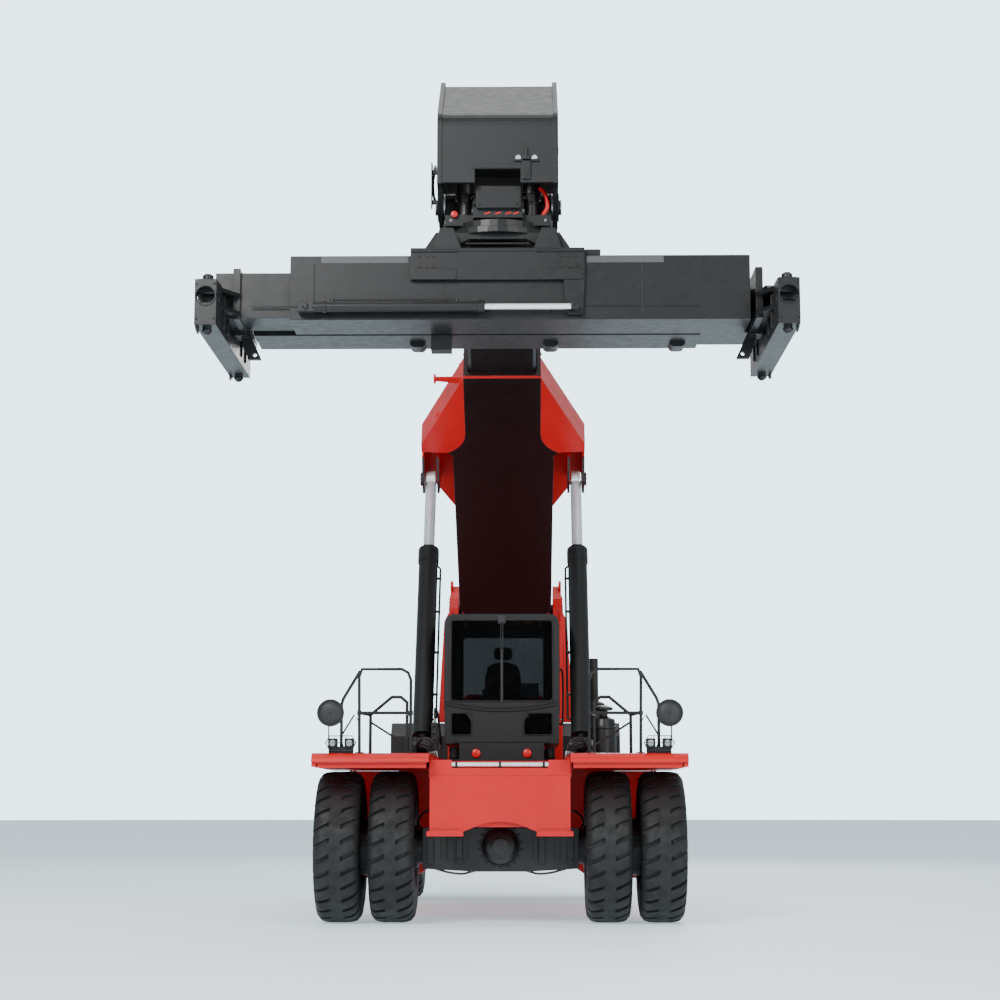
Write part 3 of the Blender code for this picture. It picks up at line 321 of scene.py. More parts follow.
def sweep(mesh, points, radius, sides=10, closed=False):
    """A round tube along points."""
    points = [Vector(point) for point in points]
    count = len(points)
    side = Vector((0.31, 0.47, 0.83))
    rings = []
    for index, point in enumerate(points):
        before = points[index - 1] if index or closed else point
        after = points[(index + 1) % count] if index < count - 1 or closed else point
        along = (after - before).normalized()
        side = (side - along * side.dot(along)).normalized()
        other = along.cross(side)
        rings.append([mesh.verts.new(point + radius * (side * cos(a) + other * sin(a)))
                      for a in (2 * pi * step / sides for step in range(sides))])
    bridge(mesh, rings, closed)
    if not closed:
        mesh.faces.new(rings[0][::-1])
        mesh.faces.new(rings[-1])


def bolts(mesh, places, direction, radius=0.014):
    """Hexagon heads on washers."""
    for place in places:
        turned(mesh, rectangle(0, radius * 1.5, -0.002, radius * 0.25),
               place, direction, 12)
        turned(mesh, [(0, 0), (radius, 0), (radius, radius * 0.8), (radius * 0.8, radius), (0, radius)],
               place, direction, 6)


def circle(centre, radius, count, normal):
    """Points on a circle about a normal."""
    turn = Vector((0, 0, 1)).rotation_difference(Vector(normal)).to_matrix()
    return [Vector(centre) + turn @ Vector((radius * cos(a), radius * sin(a), 0))
            for a in (2 * pi * (step + 0.5) / count for step in range(count))]


def bolt_circle(mesh, centre, ring, count, direction, radius):
    """Hexagon heads spaced evenly on a circle."""
    bolts(mesh, circle(centre, ring, count, direction), direction, radius)


def rectangle(first, second, low, high):
    """The corners of a flat rectangle, or a turned band from one radius to another."""
    return [(first, low), (second, low), (second, high), (first, high)]


def fillet_outline(corner, radius, steps=6):
    """A corner piece with a hollow arc; the signs of radius give the way it opens."""
    (x, z), (across, up) = corner, radius
    arc = [(x + across * (1 - sin(a)), z + up * (1 - cos(a))) for a in (pi / 2 * s / steps for s in range(steps + 1))]
    return [(x, z), *arc]


def rounded_rectangle(x_range, z_range, radius, steps=4):
    corners = []
    for x, z, start in ((x_range[1] - radius, z_range[1] - radius, 0), (x_range[0] + radius, z_range[1] - radius, 90),
                        (x_range[0] + radius, z_range[0] + radius, 180), (x_range[1] - radius, z_range[0] + radius,
                                                                          270)):
        corners += [(x + radius * cos(a), z + radius * sin(a))
                    for a in (radians(start + 90 * step / steps) for step in range(steps + 1))]
    return corners


def piece(name, mesh, material, body, edge=0.003):
    """Makes the object, rounds its edges and lets it ride on its body."""
    bmesh.ops.recalc_face_normals(mesh, faces=mesh.faces)
    data = bpy.data.meshes.new(name)
    mesh.to_mesh(data)
    mesh.free()
    data.materials.append(material)
    data.shade_smooth()
    data.set_sharp_from_angle(angle=radians(35))
    made = shown(name, data)
    if edge:
        rounding = made.modifiers.new("rounding", "BEVEL")
        rounding.width = edge
        rounding.segments = 2
        rounding.limit_method = "ANGLE"
        rounding.angle_limit = radians(40)
        rounding.harden_normals = True
    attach(made, body)
    return made


def hoses(name, routes, radius, body, fittings=True):
    """Fixed hydraulic hoses along smooth routes, with a crimped metal fitting on each end."""
    rubber_mesh, metal_mesh = bmesh.new(), bmesh.new()
    for route in routes:
        line = curved(route)
        sweep(rubber_mesh, line, radius)
        for end, inner in ((line[0], line[2]), (line[-1], line[-3])) if fittings else ():
            way = inner - end
            turned(metal_mesh, [(0, -0.02), (radius * 0.8, -0.02), (radius * 0.8, 0.0), (radius * 1.35, 0.0),
                                (radius * 1.35, 0.045), (radius * 1.1, 0.05), (0, 0.05)], end, way, 12)
    piece(name, rubber_mesh, HOSE, body, 0)
    if fittings:
        piece(name + "_fittings", metal_mesh, STEEL, body, 0)
    else:
        metal_mesh.free()


# ---- the frame, and the places that the rest is measured from ---------------------
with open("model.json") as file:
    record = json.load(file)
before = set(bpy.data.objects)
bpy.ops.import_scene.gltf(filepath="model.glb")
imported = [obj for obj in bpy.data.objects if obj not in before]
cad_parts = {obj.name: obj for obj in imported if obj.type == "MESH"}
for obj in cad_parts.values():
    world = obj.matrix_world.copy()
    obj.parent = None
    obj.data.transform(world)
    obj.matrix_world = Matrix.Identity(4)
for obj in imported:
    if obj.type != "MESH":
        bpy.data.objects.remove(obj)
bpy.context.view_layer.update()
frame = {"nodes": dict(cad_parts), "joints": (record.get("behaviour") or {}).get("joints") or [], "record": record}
JOINTS = {joint["name"]: joint for joint in frame["joints"]}
BOX = {name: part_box(name) for name in frame["nodes"]}
AXLE = (BOX["front_outer_tyre_left"][0] + BOX["front_outer_tyre_left"][1]) / 2
AXLE_Y, AXLE_Z = AXLE.y, AXLE.z
PIVOT = Vector(JOINTS["boom_lift"]["pos_m"])
INWARD = Vector(JOINTS["boom_slide"]["axis"]).normalized()       # along the boom towards its foot
BOOM_UP = Vector((1, 0, 0)).cross(INWARD)
DECK_Z = BOX["deck_left"][1].z
SPREADER = Vector(JOINTS["spreader_slew"]["pos_m"])
OUTER_TIP = 5.50                      # where the outer boom ends, along from the pivot
OUTER_HALF = 0.48                     # half the outer boom's width
HEAD_HALF = 0.635                     # half the boom head's width over its cheeks
PANES_X = ((-0.60, -0.36), (0.26, 0.60))     # the two small panes in the cab's lower front
PANES_Z = (2.12, 2.38)
BARREL_MOUTH = 2.788                  # from a lift cylinder's foot pin to the end of its barrel
TWISTLOCKS = (5.853, 2.259)           # spacing along and across the spreader, as on a 20 ft container
LOCK_TOP = 6.60                       # height of the rods over the twistlocks

# ---- the palette ----------------------------------------------------------------
# Painted shade colour for the outer boom's underside.
BOOM_PAINTED_SHADE = (0.008, 0.0025, 0.0025)
# Lighter edge colour for the red enamel: worn paint and a painted highlight.
RED_WEAR_AND_HIGHLIGHT = (0.75, 0.16, 0.15)
RED = enamel("red_enamel", (0.62, 0.007, 0.007), (0.54, 0.006, 0.006), RED_WEAR_AND_HIGHLIGHT, 0.34, "red_paint")
# The outer boom's enamel, with painted shade on its underside.
BOOM_RED = enamel("boom_enamel", (0.62, 0.007, 0.007), (0.50, 0.006, 0.006), RED_WEAR_AND_HIGHLIGHT, 0.34, "red_paint",
                  (BOOM_PAINTED_SHADE, painted_shade_below(-0.399)))
BLACK = enamel("black_enamel", (0.0085, 0.0085, 0.0088), (0.0062, 0.0062, 0.0064), (0.055, 0.055, 0.057), 0.40,
               "black_paint")
# The inner boom's enamel, with painted shade on its underside.
BOOM_BLACK = enamel("inner_boom_enamel", (0.0085, 0.0080, 0.0080), (0.0055, 0.0050, 0.0050), (0.05, 0.05, 0.05), 0.42,
                    "black_paint", ((0.003, 0.0024, 0.0024), painted_shade_below(-0.315)))
HEAD = enamel("head_enamel", (0.012, 0.012, 0.0121), (0.009, 0.009, 0.0091), (0.10, 0.10, 0.10), 0.42, "head_grey")
STRIP = enamel("strip_enamel", (0.085, 0.086, 0.088), (0.065, 0.066, 0.068), (0.2, 0.2, 0.2), 0.5, "head_grey")
CHROME = metal("chrome_plate", (0.93, 0.93, 0.94), (0.84, 0.85, 0.86), 0.26, (1, 1, 0.1), "chrome", 0.55)
STEEL = metal("zinc_steel", (0.30, 0.30, 0.31), (0.20, 0.19, 0.18), 0.36, (1, 1, 1), "iron")
MIRROR = metal("mirror_glass", (0.80, 0.83, 0.85), (0.76, 0.80, 0.83), 0.03, (1, 1, 1), "chrome")
IRON = cast_iron()
TYRE = rubber("tyre_rubber", (0.0045, 0.0045, 0.0047), (0.009, 0.0085, 0.0083), 60.0, "tyre")
SEAL = rubber("seal_rubber", (0.006, 0.006, 0.0063), (0.015, 0.0145, 0.014), 200.0)
HOSE = braided_hose()
GLASS = tinted_glass()
LENS = lamp_lens()
RED_LENS = coloured_lens("tail_lens", (0.65, 0.02, 0.015), (0.30, 0.005, 0.004))
AMBER_LENS = coloured_lens("beacon_lens", (0.80, 0.28, 0.02), (0.50, 0.12, 0.006))
CLOTH = seat_cloth()
PLASTIC = moulded_plastic("cab_plastic", (0.010, 0.010, 0.0105), (0.015, 0.015, 0.0155))
SCREEN = moulded_plastic("display_plastic", (0.010, 0.014, 0.020), (0.016, 0.022, 0.030))
GRIP = grip_plate()
SLOT_FINISH = {"red_paint": RED, "black_paint": BLACK, "head_grey": HEAD, "tyre": TYRE, "chrome": CHROME,
               "iron": IRON, "glass": GLASS, "seat": CLOTH}


def at(behind):
    """World Y of a place given behind the front axle."""
    return AXLE_Y + behind


def on_boom(x, along, above):
    """A place given along the boom from its pivot, and above its centre line."""
    return PIVOT + Vector((x, 0, 0)) - INWARD * along + BOOM_UP * above


def tilted(place):
    """From a flat layout (x, -along, above) to its place on the boom."""
    return on_boom(place.x, -place.y, place.z)


def finish_cad():
    """Gives every CAD node the full material of its slot."""
    special = {"outer_boom": BOOM_RED, "inner_boom": BOOM_BLACK}
    for part in frame["record"]["subparts"]:
        node = frame["nodes"][part["node"]]
        for holder in node.material_slots:
            holder.material = special.get(node.name, SLOT_FINISH[part["material_slot"]])


# ---- camera, floor and light ------------------------------------------------------
def make_stage():
    camera = shown("camera", bpy.data.cameras.new("camera"))
    camera.data.lens = 71.9
    camera.data.clip_end = 500
    camera.location = (0.276, at(-22.829), 1.297)
    camera.rotation_euler = (radians(90 + 8.69), 0, 0.0125)
    bpy.context.scene.camera = camera
    mesh = bmesh.new()
    turned(mesh, rectangle(0, 160, 0, -0.05), (0, 0, -0.002), (0, 0, 1), 64)
    data = bpy.data.meshes.new("floor")
    mesh.to_mesh(data)
    mesh.free()
    data.materials.append(pale_floor())
    shown("floor", data)
    world = bpy.data.worlds.new("studio")
    bpy.context.scene.world = world
    world.use_nodes = True
    light_studio(world.node_tree)
    for name, place, aim, size, power in (("key", (-9, -22, 15), (0, -2, 3), 8, 4600),
                                          ("fill", (13, -22, 9), (0, -2, 3), 9, 2300),
                                          ("top", (0, 2, 24), (0, 0, 2), 14, 1500),
                                          ("back", (5, 20, 13), (0, 0, 4), 8, 1500)):
        light = shown(name, bpy.data.lights.new(name, "AREA"))
        light.data.size = size
        light.data.energy = power
        light.location = place
        light.rotation_euler = (Vector(aim) - Vector(place)).to_track_quat("-Z", "Y").to_euler()


def light_studio(tree):
    """Soft light from all round, and a paler backdrop where the camera sees past the machine."""
    backdrop = tree.nodes["Background"]
    backdrop.inputs["Color"].default_value = (0.68, 0.90, 1.00, 1)
    backdrop.inputs["Strength"].default_value = 4.0
    ambient = tree.nodes.new("ShaderNodeBackground")
    ambient.inputs["Color"].default_value = (0.80, 0.88, 0.94, 1)
    ambient.inputs["Strength"].default_value = 0.60
    seen = tree.nodes.new("ShaderNodeLightPath")
    choose = tree.nodes.new("ShaderNodeMixShader")
    tree.links.new(seen.outputs["Is Camera Ray"], choose.inputs[0])
    tree.links.new(ambient.outputs[0], choose.inputs[1])
    tree.links.new(backdrop.outputs[0], choose.inputs[2])
    tree.links.new(choose.outputs[0], tree.nodes["World Output"].inputs["Surface"])


# ---- wheels -----------------------------------------------------------------------
GROOVES = 30
GROOVE_DEPTH = 0.036
GROOVE_STEPS = ((0.00, 0), (0.03, 1), (0.27, 1), (0.30, 0), (0.53, 0), (0.77, 0))   # share of a pitch, in a groove
GROOVE_SLANT = 0.55          # pitches across half the tread


def tread_depth(across):
    """How deep the grooves are at a place across the tyre, -1 to 1 over the tread and past 1 on the shoulder."""
    distance = abs(across)
    if distance < 0.30:
        return 0.0
    if distance < 0.38:
        return (distance - 0.30) / 0.08
    return max(0.0, min(1.0, (1.35 - distance) / 0.25))


def make_tyre(node, body):
    """A tyre with two staggered rows of slanted grooves, shoulders, and ribbed sidewalls."""
    low, high = BOX[node]
    centre = (low + high) / 2
    radius, half = (high.z - low.z) / 2, (high.x - low.x) / 2
    bead = 0.321
    tread_half = half - 0.05
    crown = [(-1 + 2 * step / 14) for step in range(15)]
    profile = [(bead, -half + 0.05), (bead + 0.03, -half + 0.03), (bead + 0.05, -half + 0.018),
               (bead + 0.14, -half + 0.006),
               (bead + 0.15, -half + 0.001), (bead + 0.18, -half + 0.001), (bead + 0.19, -half + 0.006),
               (radius - 0.20, -half + 0.002), (radius - 0.13, -half + 0.001), (radius - 0.07, -half + 0.012)]
    profile += [(radius - 0.022 * abs(across) ** 4, across * tread_half) for across in crown]
    profile += [(r, -x) for r, x in profile[9::-1]]
    mesh = bmesh.new()
    rings = []
    for r, x in profile:
        across = x / tread_half
        depth = GROOVE_DEPTH * tread_depth(across) if r > radius - 0.15 else 0.0
        if radius - 0.15 < r <= radius - 0.05:
            depth = GROOVE_DEPTH * 0.6
        stagger = 0.5 * min(1.0, max(0.0, (across + 0.25) / 0.5))
        ring = []
        for pitch in range(GROOVES):
            for share, inside in GROOVE_STEPS:
                angle = 2 * pi * (pitch + share + GROOVE_SLANT * max(-1.2, min(1.2, across)) + stagger) / GROOVES
                reach = r - depth * inside
                ring.append(mesh.verts.new(centre + Vector((x, reach * sin(angle), reach * cos(angle)))))
        rings.append(ring)
    bridge(mesh, rings, closed=True)
    tyre = piece(node + "_treaded", mesh, TYRE, body, 0)
    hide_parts(node)


def make_wheels():
    for label, side in SIDES.items():
        for row in ("outer", "inner"):
            make_tyre("front_%s_tyre_%s" % (row, label), "front_wheels_" + label)
        make_tyre("rear_tyre_" + label, "rear_wheel_" + label)
        front = bmesh.new()
        low, high = BOX["front_rim_" + label]
        face = side * 1.67
        bolt_circle(front, (face, AXLE_Y, AXLE_Z), 0.245, 16, (side, 0, 0), 0.016)
        bolt_circle(front, (side * 1.93, AXLE_Y, AXLE_Z), 0.135, 10, (side, 0, 0), 0.009)
        edge = max(abs(low.x), abs(high.x))
        turned(front, rectangle(0.30, 0.322, 0, 0.012), (side * (edge - 0.02), AXLE_Y, AXLE_Z),
               (side, 0, 0), 48)
        bar(front, (face, AXLE_Y, AXLE_Z + 0.285), (side * 1.78, AXLE_Y, AXLE_Z + 0.27), 0.007, 10)
        piece("front_wheel_nuts_" + label, front, STEEL, "front_wheels_" + label, 0.0015)
        rear = bmesh.new()
        rear_y = JOINTS["rear_wheel_left_spin"]["pos_m"][1]
        bolt_circle(rear, (side * 1.48, rear_y, AXLE_Z), 0.225, 14, (side, 0, 0), 0.016)
        bolt_circle(rear, (side * 1.58, rear_y, AXLE_Z), 0.095, 8, (side, 0, 0), 0.009)
        turned(rear, [(0, 0), (0.05, 0), (0.045, 0.02), (0, 0.025)], (side * 1.58, rear_y, AXLE_Z), (side, 0, 0), 20)
        piece("rear_wheel_nuts_" + label, rear, STEEL, "rear_wheel_" + label, 0.0015)


# ---- chassis ----------------------------------------------------------------------
def make_axle_details():
    face = AXLE_Y - 0.26
    mesh = bmesh.new()
    bolt_circle(mesh, (0, face, AXLE_Z + 0.012), 0.238, 18, (0, -1, 0), 0.011)
    for x in (-0.78, -0.46, 0.46, 0.78):
        bolts(mesh, [(x, AXLE_Y - 0.31, z) for z in (0.70, 0.94)], (0, -1, 0), 0.009)
    piece("axle_bolts", mesh, BLACK, "chassis", 0.001)
    ribs = bmesh.new()
    for side in SIDES.values():
        for x in (0.36, 0.42, 0.60, 0.66):
            block(ribs, (side * x - 0.008, face - 0.012, 0.70), (side * x + 0.008, face + 0.01, 0.93))
        turned(ribs, rectangle(0.19, 0.235, 0, 0.05), (side * 0.93, AXLE_Y, AXLE_Z), (side, 0, 0), 32)
        block(ribs, (side * 0.94, AXLE_Y - 0.30, AXLE_Z - 0.09), (side * 0.985, AXLE_Y - 0.16, AXLE_Z + 0.09))
    turned(ribs, [(0, 0), (0.03, 0), (0.03, 0.015), (0, 0.018)], (0, AXLE_Y - 0.4352, AXLE_Z + 0.012), (0, -1, 0), 24)
    turned(ribs, rectangle(0.208, 0.225, -0.27, -0.255), (0, AXLE_Y, AXLE_Z + 0.012),
           (0, 1, 0), 40)
    piece("axle_ribs", ribs, BLACK, "chassis")
    lines = []
    for side in SIDES.values():
        lines.append([(side * 0.30, AXLE_Y - 0.20, 0.575), (side * 0.42, AXLE_Y - 0.27, 0.545),
                      (side * 0.58, AXLE_Y - 0.26, 0.56), (side * 0.72, AXLE_Y - 0.20, 0.60)])
        lines.append([(side * 0.86, AXLE_Y + 0.1, 0.98), (side * 0.93, AXLE_Y - 0.05, 1.10),
                      (side * 0.88, AXLE_Y - 0.18, 1.20), (side * 0.80, AXLE_Y - 0.30, 1.24)])
    hoses("brake_hoses", lines, 0.012, "chassis")


def make_nose_details():
    front = BOX["nose_plate"][0].y + 0.05
    clamps = bmesh.new()
    rail_low, rail_high = BOX["nose_bar"]
    centre = (rail_low + rail_high) / 2
    for x in (-0.48, 0.0, 0.48):
        turned(clamps, rectangle(0.0242, 0.032, -0.012, 0.012),
               (x, centre.y, centre.z), (1, 0, 0), 24)
        block(clamps, (x - 0.012, centre.y - 0.012, centre.z - 0.045),
              (x + 0.012, centre.y + 0.012, centre.z - 0.026))
    piece("nose_bar_clamps", clamps, BLACK, "chassis", 0.001)
    seam = bmesh.new()
    sweep(seam, [(-0.765, front - 0.001, 1.62), (0.765, front - 0.001, 1.62)], 0.004, 8)
    for side in (-1, 1):
        sweep(seam, [(side * 0.765, front - 0.001, 1.045), (side * 0.45, front - 0.001, 1.045)], 0.004, 8)
    piece("nose_weld_beads", seam, RED, "chassis", 0)


def make_deck_details():
    for label, side in SIDES.items():
        mats = bmesh.new()
        for front, back in ((0.40, 1.10), (1.25, 2.70), (2.85, 4.55)):
            outline = rounded_rectangle(sorted((side * 1.10, side * 1.84)), (at(front), at(back)), 0.04)
            prism(mats, "Z", outline, DECK_Z - 0.001, DECK_Z + 0.005)
        piece("grip_mats_" + label, mats, GRIP, "chassis", 0.001)
        feet = bmesh.new()
        for x, behind in ((1.54, -0.80), (0.98, -0.80), (1.74, -0.80), (1.46, -0.30), (1.05, -0.30)):
            turned(feet, [(0.0195, 0), (0.05, 0), (0.05, 0.010), (0.026, 0.014), (0.0195, 0.014)],
                   (side * x, at(behind), DECK_Z), (0, 0, 1), 20)
            bolts(feet, [(side * x + dx, at(behind), DECK_Z + 0.010) for dx in (-0.037, 0.037)], (0, 0, 1), 0.006)
        piece("handrail_feet_" + label, feet, BLACK, "chassis", 0.001)
        braces = bmesh.new()
        front, back = at(-0.80), at(-0.30)
        sweep(braces, [(side * 1.46, back, 2.22), (side * 1.05, back, DECK_Z + 0.10)], 0.012)
        sweep(braces, [(side * 1.74, front, 2.05), (side * 1.60, front, DECK_Z + 0.42), (side * 1.545, front, 2.20)],
              0.010)
        for x in (0.98, 1.545):
            turned(braces, rectangle(0.0195, 0.026, -0.022, 0.022),
                   (side * x, front, 2.30), (0, 0, 1), 16)
        piece("handrail_braces_" + label, braces, BLACK, "chassis", 0)
        welds = bmesh.new()
        sweep(welds, [(side * 0.79, at(-0.985), DECK_Z - 0.105), (side * 2.02, at(-0.985), DECK_Z - 0.105)], 0.006, 8)
        block(welds, (side * 0.80, at(-0.94), 1.700), (side * 1.99, at(1.09), 1.708))
        block(welds, (side * 0.80, at(-0.945), 1.700), (side * 1.99, at(-0.935), DECK_Z - 0.058))
        piece("fender_liner_" + label, welds, RED, "chassis", 0)
        make_mirror(label, side)
        make_headlamps(label, side)


def make_mirror(label, side):
    centre = Vector((side * 1.86, at(-0.80), 2.30))
    glass = bmesh.new()
    turned(glass, [(0, 0.038), (0.06, 0.0355), (0.10, 0.0325), (0.135, 0.012), (0.135, 0.006), (0, 0.008)],
           centre, (0, 1, 0), 40)
    piece("mirror_glass_" + label, glass, MIRROR, "chassis", 0)
    back = bmesh.new()
    front_face = centre + Vector((0, -0.02, 0))
    turned(back, [(0.136, -0.004), (0.150, -0.004), (0.150, 0.008), (0.144, 0.012), (0.136, 0.008)], front_face,
           (0, -1, 0), 40)
    turned(back, [(0, -0.002), (0.12, -0.002), (0.11, 0.006), (0.05, 0.013), (0, 0.015)], front_face, (0, -1, 0), 40)
    bolts(back, [front_face + Vector((0, -0.014, 0))], (0, -1, 0), 0.012)
    sweep(back, [centre + Vector((side * 0.02, 0.0, -0.14)), centre + Vector((side * 0.02, 0.02, -0.30)),
                 centre + Vector((side * -0.02, 0.02, -0.36))], 0.008)
    piece("mirror_shell_" + label, back, PLASTIC, "chassis", 0.001)


def make_headlamps(label, side):
    """Bezel, ribbed lens and a hexagonal wire guard on each of the twin lamps."""
    low, high = BOX["headlamps_" + label]
    bezels, lenses, guards = bmesh.new(), bmesh.new(), bmesh.new()
    for x in (side * 1.645, side * 1.825):
        centre = Vector((x, low.y, high.z - 0.052))
        turned(bezels, [(0.037, -0.006), (0.047, -0.006), (0.047, 0.010), (0.041, 0.014), (0.037, 0.010)],
               centre, (0, -1, 0), 32)
        turned(lenses, [(0, -0.002), (0.037, -0.002), (0.034, 0.007), (0.02, 0.012), (0, 0.014)], centre, (0, -1, 0),
               32)
        turned(bezels, [(0, 0), (0.030, 0), (0.022, 0.03), (0, 0.034)], (x, high.y - 0.002, centre.z), (0, 1, 0), 20)
    middle = Vector((side * 1.735, low.y - 0.05, high.z - 0.050))
    corners = ((-0.165, 0), (-0.119, 0.075), (0.119, 0.075), (0.165, 0), (0.119, -0.085), (-0.119, -0.085))
    for depth in (0.0, 0.055):
        sweep(guards, [middle + Vector((dx, depth, dz)) for dx, dz in corners], 0.0045, 8, closed=True)
    for dx, dz in corners:
        sweep(guards, [middle + Vector((dx, 0, dz)), middle + Vector((dx, 0.06, dz))], 0.0045, 8)
    for dx in (-0.06, 0.06):
        sweep(guards, [middle + Vector((dx, 0, -0.085)), middle + Vector((dx, 0, 0.075))], 0.0035, 8)
    sweep(guards, [middle + Vector((-0.165, 0, 0)), middle + Vector((0.165, 0, 0))], 0.0035, 8)
    sweep(guards, [middle + Vector((-0.119, 0.055, -0.085)), middle + Vector((-0.119, 0.055, -0.10))], 0.006, 8)
    piece("lamp_bezels_" + label, bezels, PLASTIC, "chassis", 0.001)
    piece("lamp_lenses_" + label, lenses, LENS, "chassis", 0)
    piece("lamp_guards_" + label, guards, BLACK, "chassis", 0)
    hoses("lamp_leads_" + label,
          [[(side * 1.735, high.y, high.z - 0.03), (side * 1.735, high.y + 0.07, high.z - 0.05),
                                   (side * 1.70, high.y + 0.09, DECK_Z + 0.02)]], 0.007, "chassis", False)


def make_side_details():
    """Tank fittings, ladder grips, engine hood louvres, exhaust, air filter, rear lamps and lifting eyes."""
    for node, side in (("fuel_tank", 1), ("hydraulic_tank", -1)):
        low, high = BOX[node]
        outer = side * max(abs(low.x), abs(high.x))
        straps, caps = bmesh.new(), bmesh.new()
        for y in (low.y + 0.35, low.y + 1.75, high.y - 0.35):
            block(straps, (outer - side * 0.004, y - 0.035, low.z + 0.16),
                  (outer + side * 0.006, y + 0.035, high.z - 0.02))
        bolts(straps, [(outer + side * 0.006, y, z) for y in (low.y + 0.35, low.y + 1.75, high.y - 0.35)
                       for z in (low.z + 0.22, high.z - 0.08)], (side, 0, 0), 0.012)
        panel_y = (low.y + 0.55, low.y + 1.45)
        prism(straps, "X", rounded_rectangle(panel_y, (low.z + 0.30, high.z - 0.15), 0.05),
              *sorted((outer - side * 0.002, outer + side * 0.008)))
        bolts(straps, [(outer + side * 0.008, y, z) for y in (panel_y[0] + 0.05, panel_y[1] - 0.05)
                       for z in (low.z + 0.35, high.z - 0.20)], (side, 0, 0), 0.010)
        turned(caps, [(0, 0), (0.07, 0), (0.07, 0.03), (0.06, 0.04), (0, 0.04)],
               (outer, high.y - 0.75, high.z - 0.22),
               (side, 0, 0), 28)
        turned(caps, rectangle(0.030, 0.042, 0, 0.015), (outer, high.y - 0.75, low.z + 0.40),
               (side, 0, 0), 24)
        bar(caps, (outer - side * 0.45, (low.y + high.y) / 2, low.z - 0.02),
            (outer - side * 0.45, (low.y + high.y) / 2, low.z + 0.01), 0.03, 6)
        piece(node + "_panels", straps, RED, "chassis")
        piece(node + "_caps", caps, BLACK, "chassis", 0.002)
    for label, side in SIDES.items():
        low, high = BOX["steps_" + label]
        grips = bmesh.new()
        for z in (0.54, 0.88, 1.22, 1.56):
            for share in (0.2, 0.5, 0.8):
                y = low.y + 0.02 + (high.y - low.y - 0.04) * share
                prism(grips, "Z", rounded_rectangle((low.x + 0.02, high.x - 0.015), (y - 0.05, y + 0.05), 0.012, 2),
                      z - 0.001, z + 0.004)
        piece("step_grips_" + label, grips, GRIP, "chassis", 0.001)
    make_hood_details()
    make_rear_details()


def make_hood_details():
    low, high = BOX["engine_hood"]
    louvres, latches = bmesh.new(), bmesh.new()
    for side, x in ((-1, low.x), (1, high.x)):
        for row in range(9):
            z = low.z + 0.22 + row * 0.055
            outline = [(x, z), (x + side * 0.016, z - 0.012), (x + side * 0.016, z - 0.030), (x, z - 0.036)]
            prism(louvres, "Y", outline, low.y + 0.22, high.y - 0.70)
        for y in (low.y + 0.12, high.y - 0.15):
            block(latches, (x - side * 0.002, y - 0.03, low.z + 0.14), (x + side * 0.014, y + 0.03, low.z + 0.24))
            bolts(latches, [(x + side * 0.014, y, low.z + 0.19)], (side, 0, 0), 0.012)
    for row in range(12):
        y = low.y + 0.25 + row * 0.06
        outline = [(y, high.z), (y + 0.012, high.z + 0.014), (y + 0.034, high.z + 0.014), (y + 0.04, high.z)]
        prism(louvres, "X", outline, -0.34, 0.34)
    sweep(latches, curved([(0.34, high.y - 0.35, high.z - 0.002), (0.34, high.y - 0.35, high.z + 0.045),
                           (0.34, high.y - 0.15, high.z + 0.045), (0.34, high.y - 0.15, high.z - 0.002)]), 0.010)
    piece("hood_louvres", louvres, RED, "hood", 0)
    piece("hood_latches", latches, BLACK, "hood", 0.002)


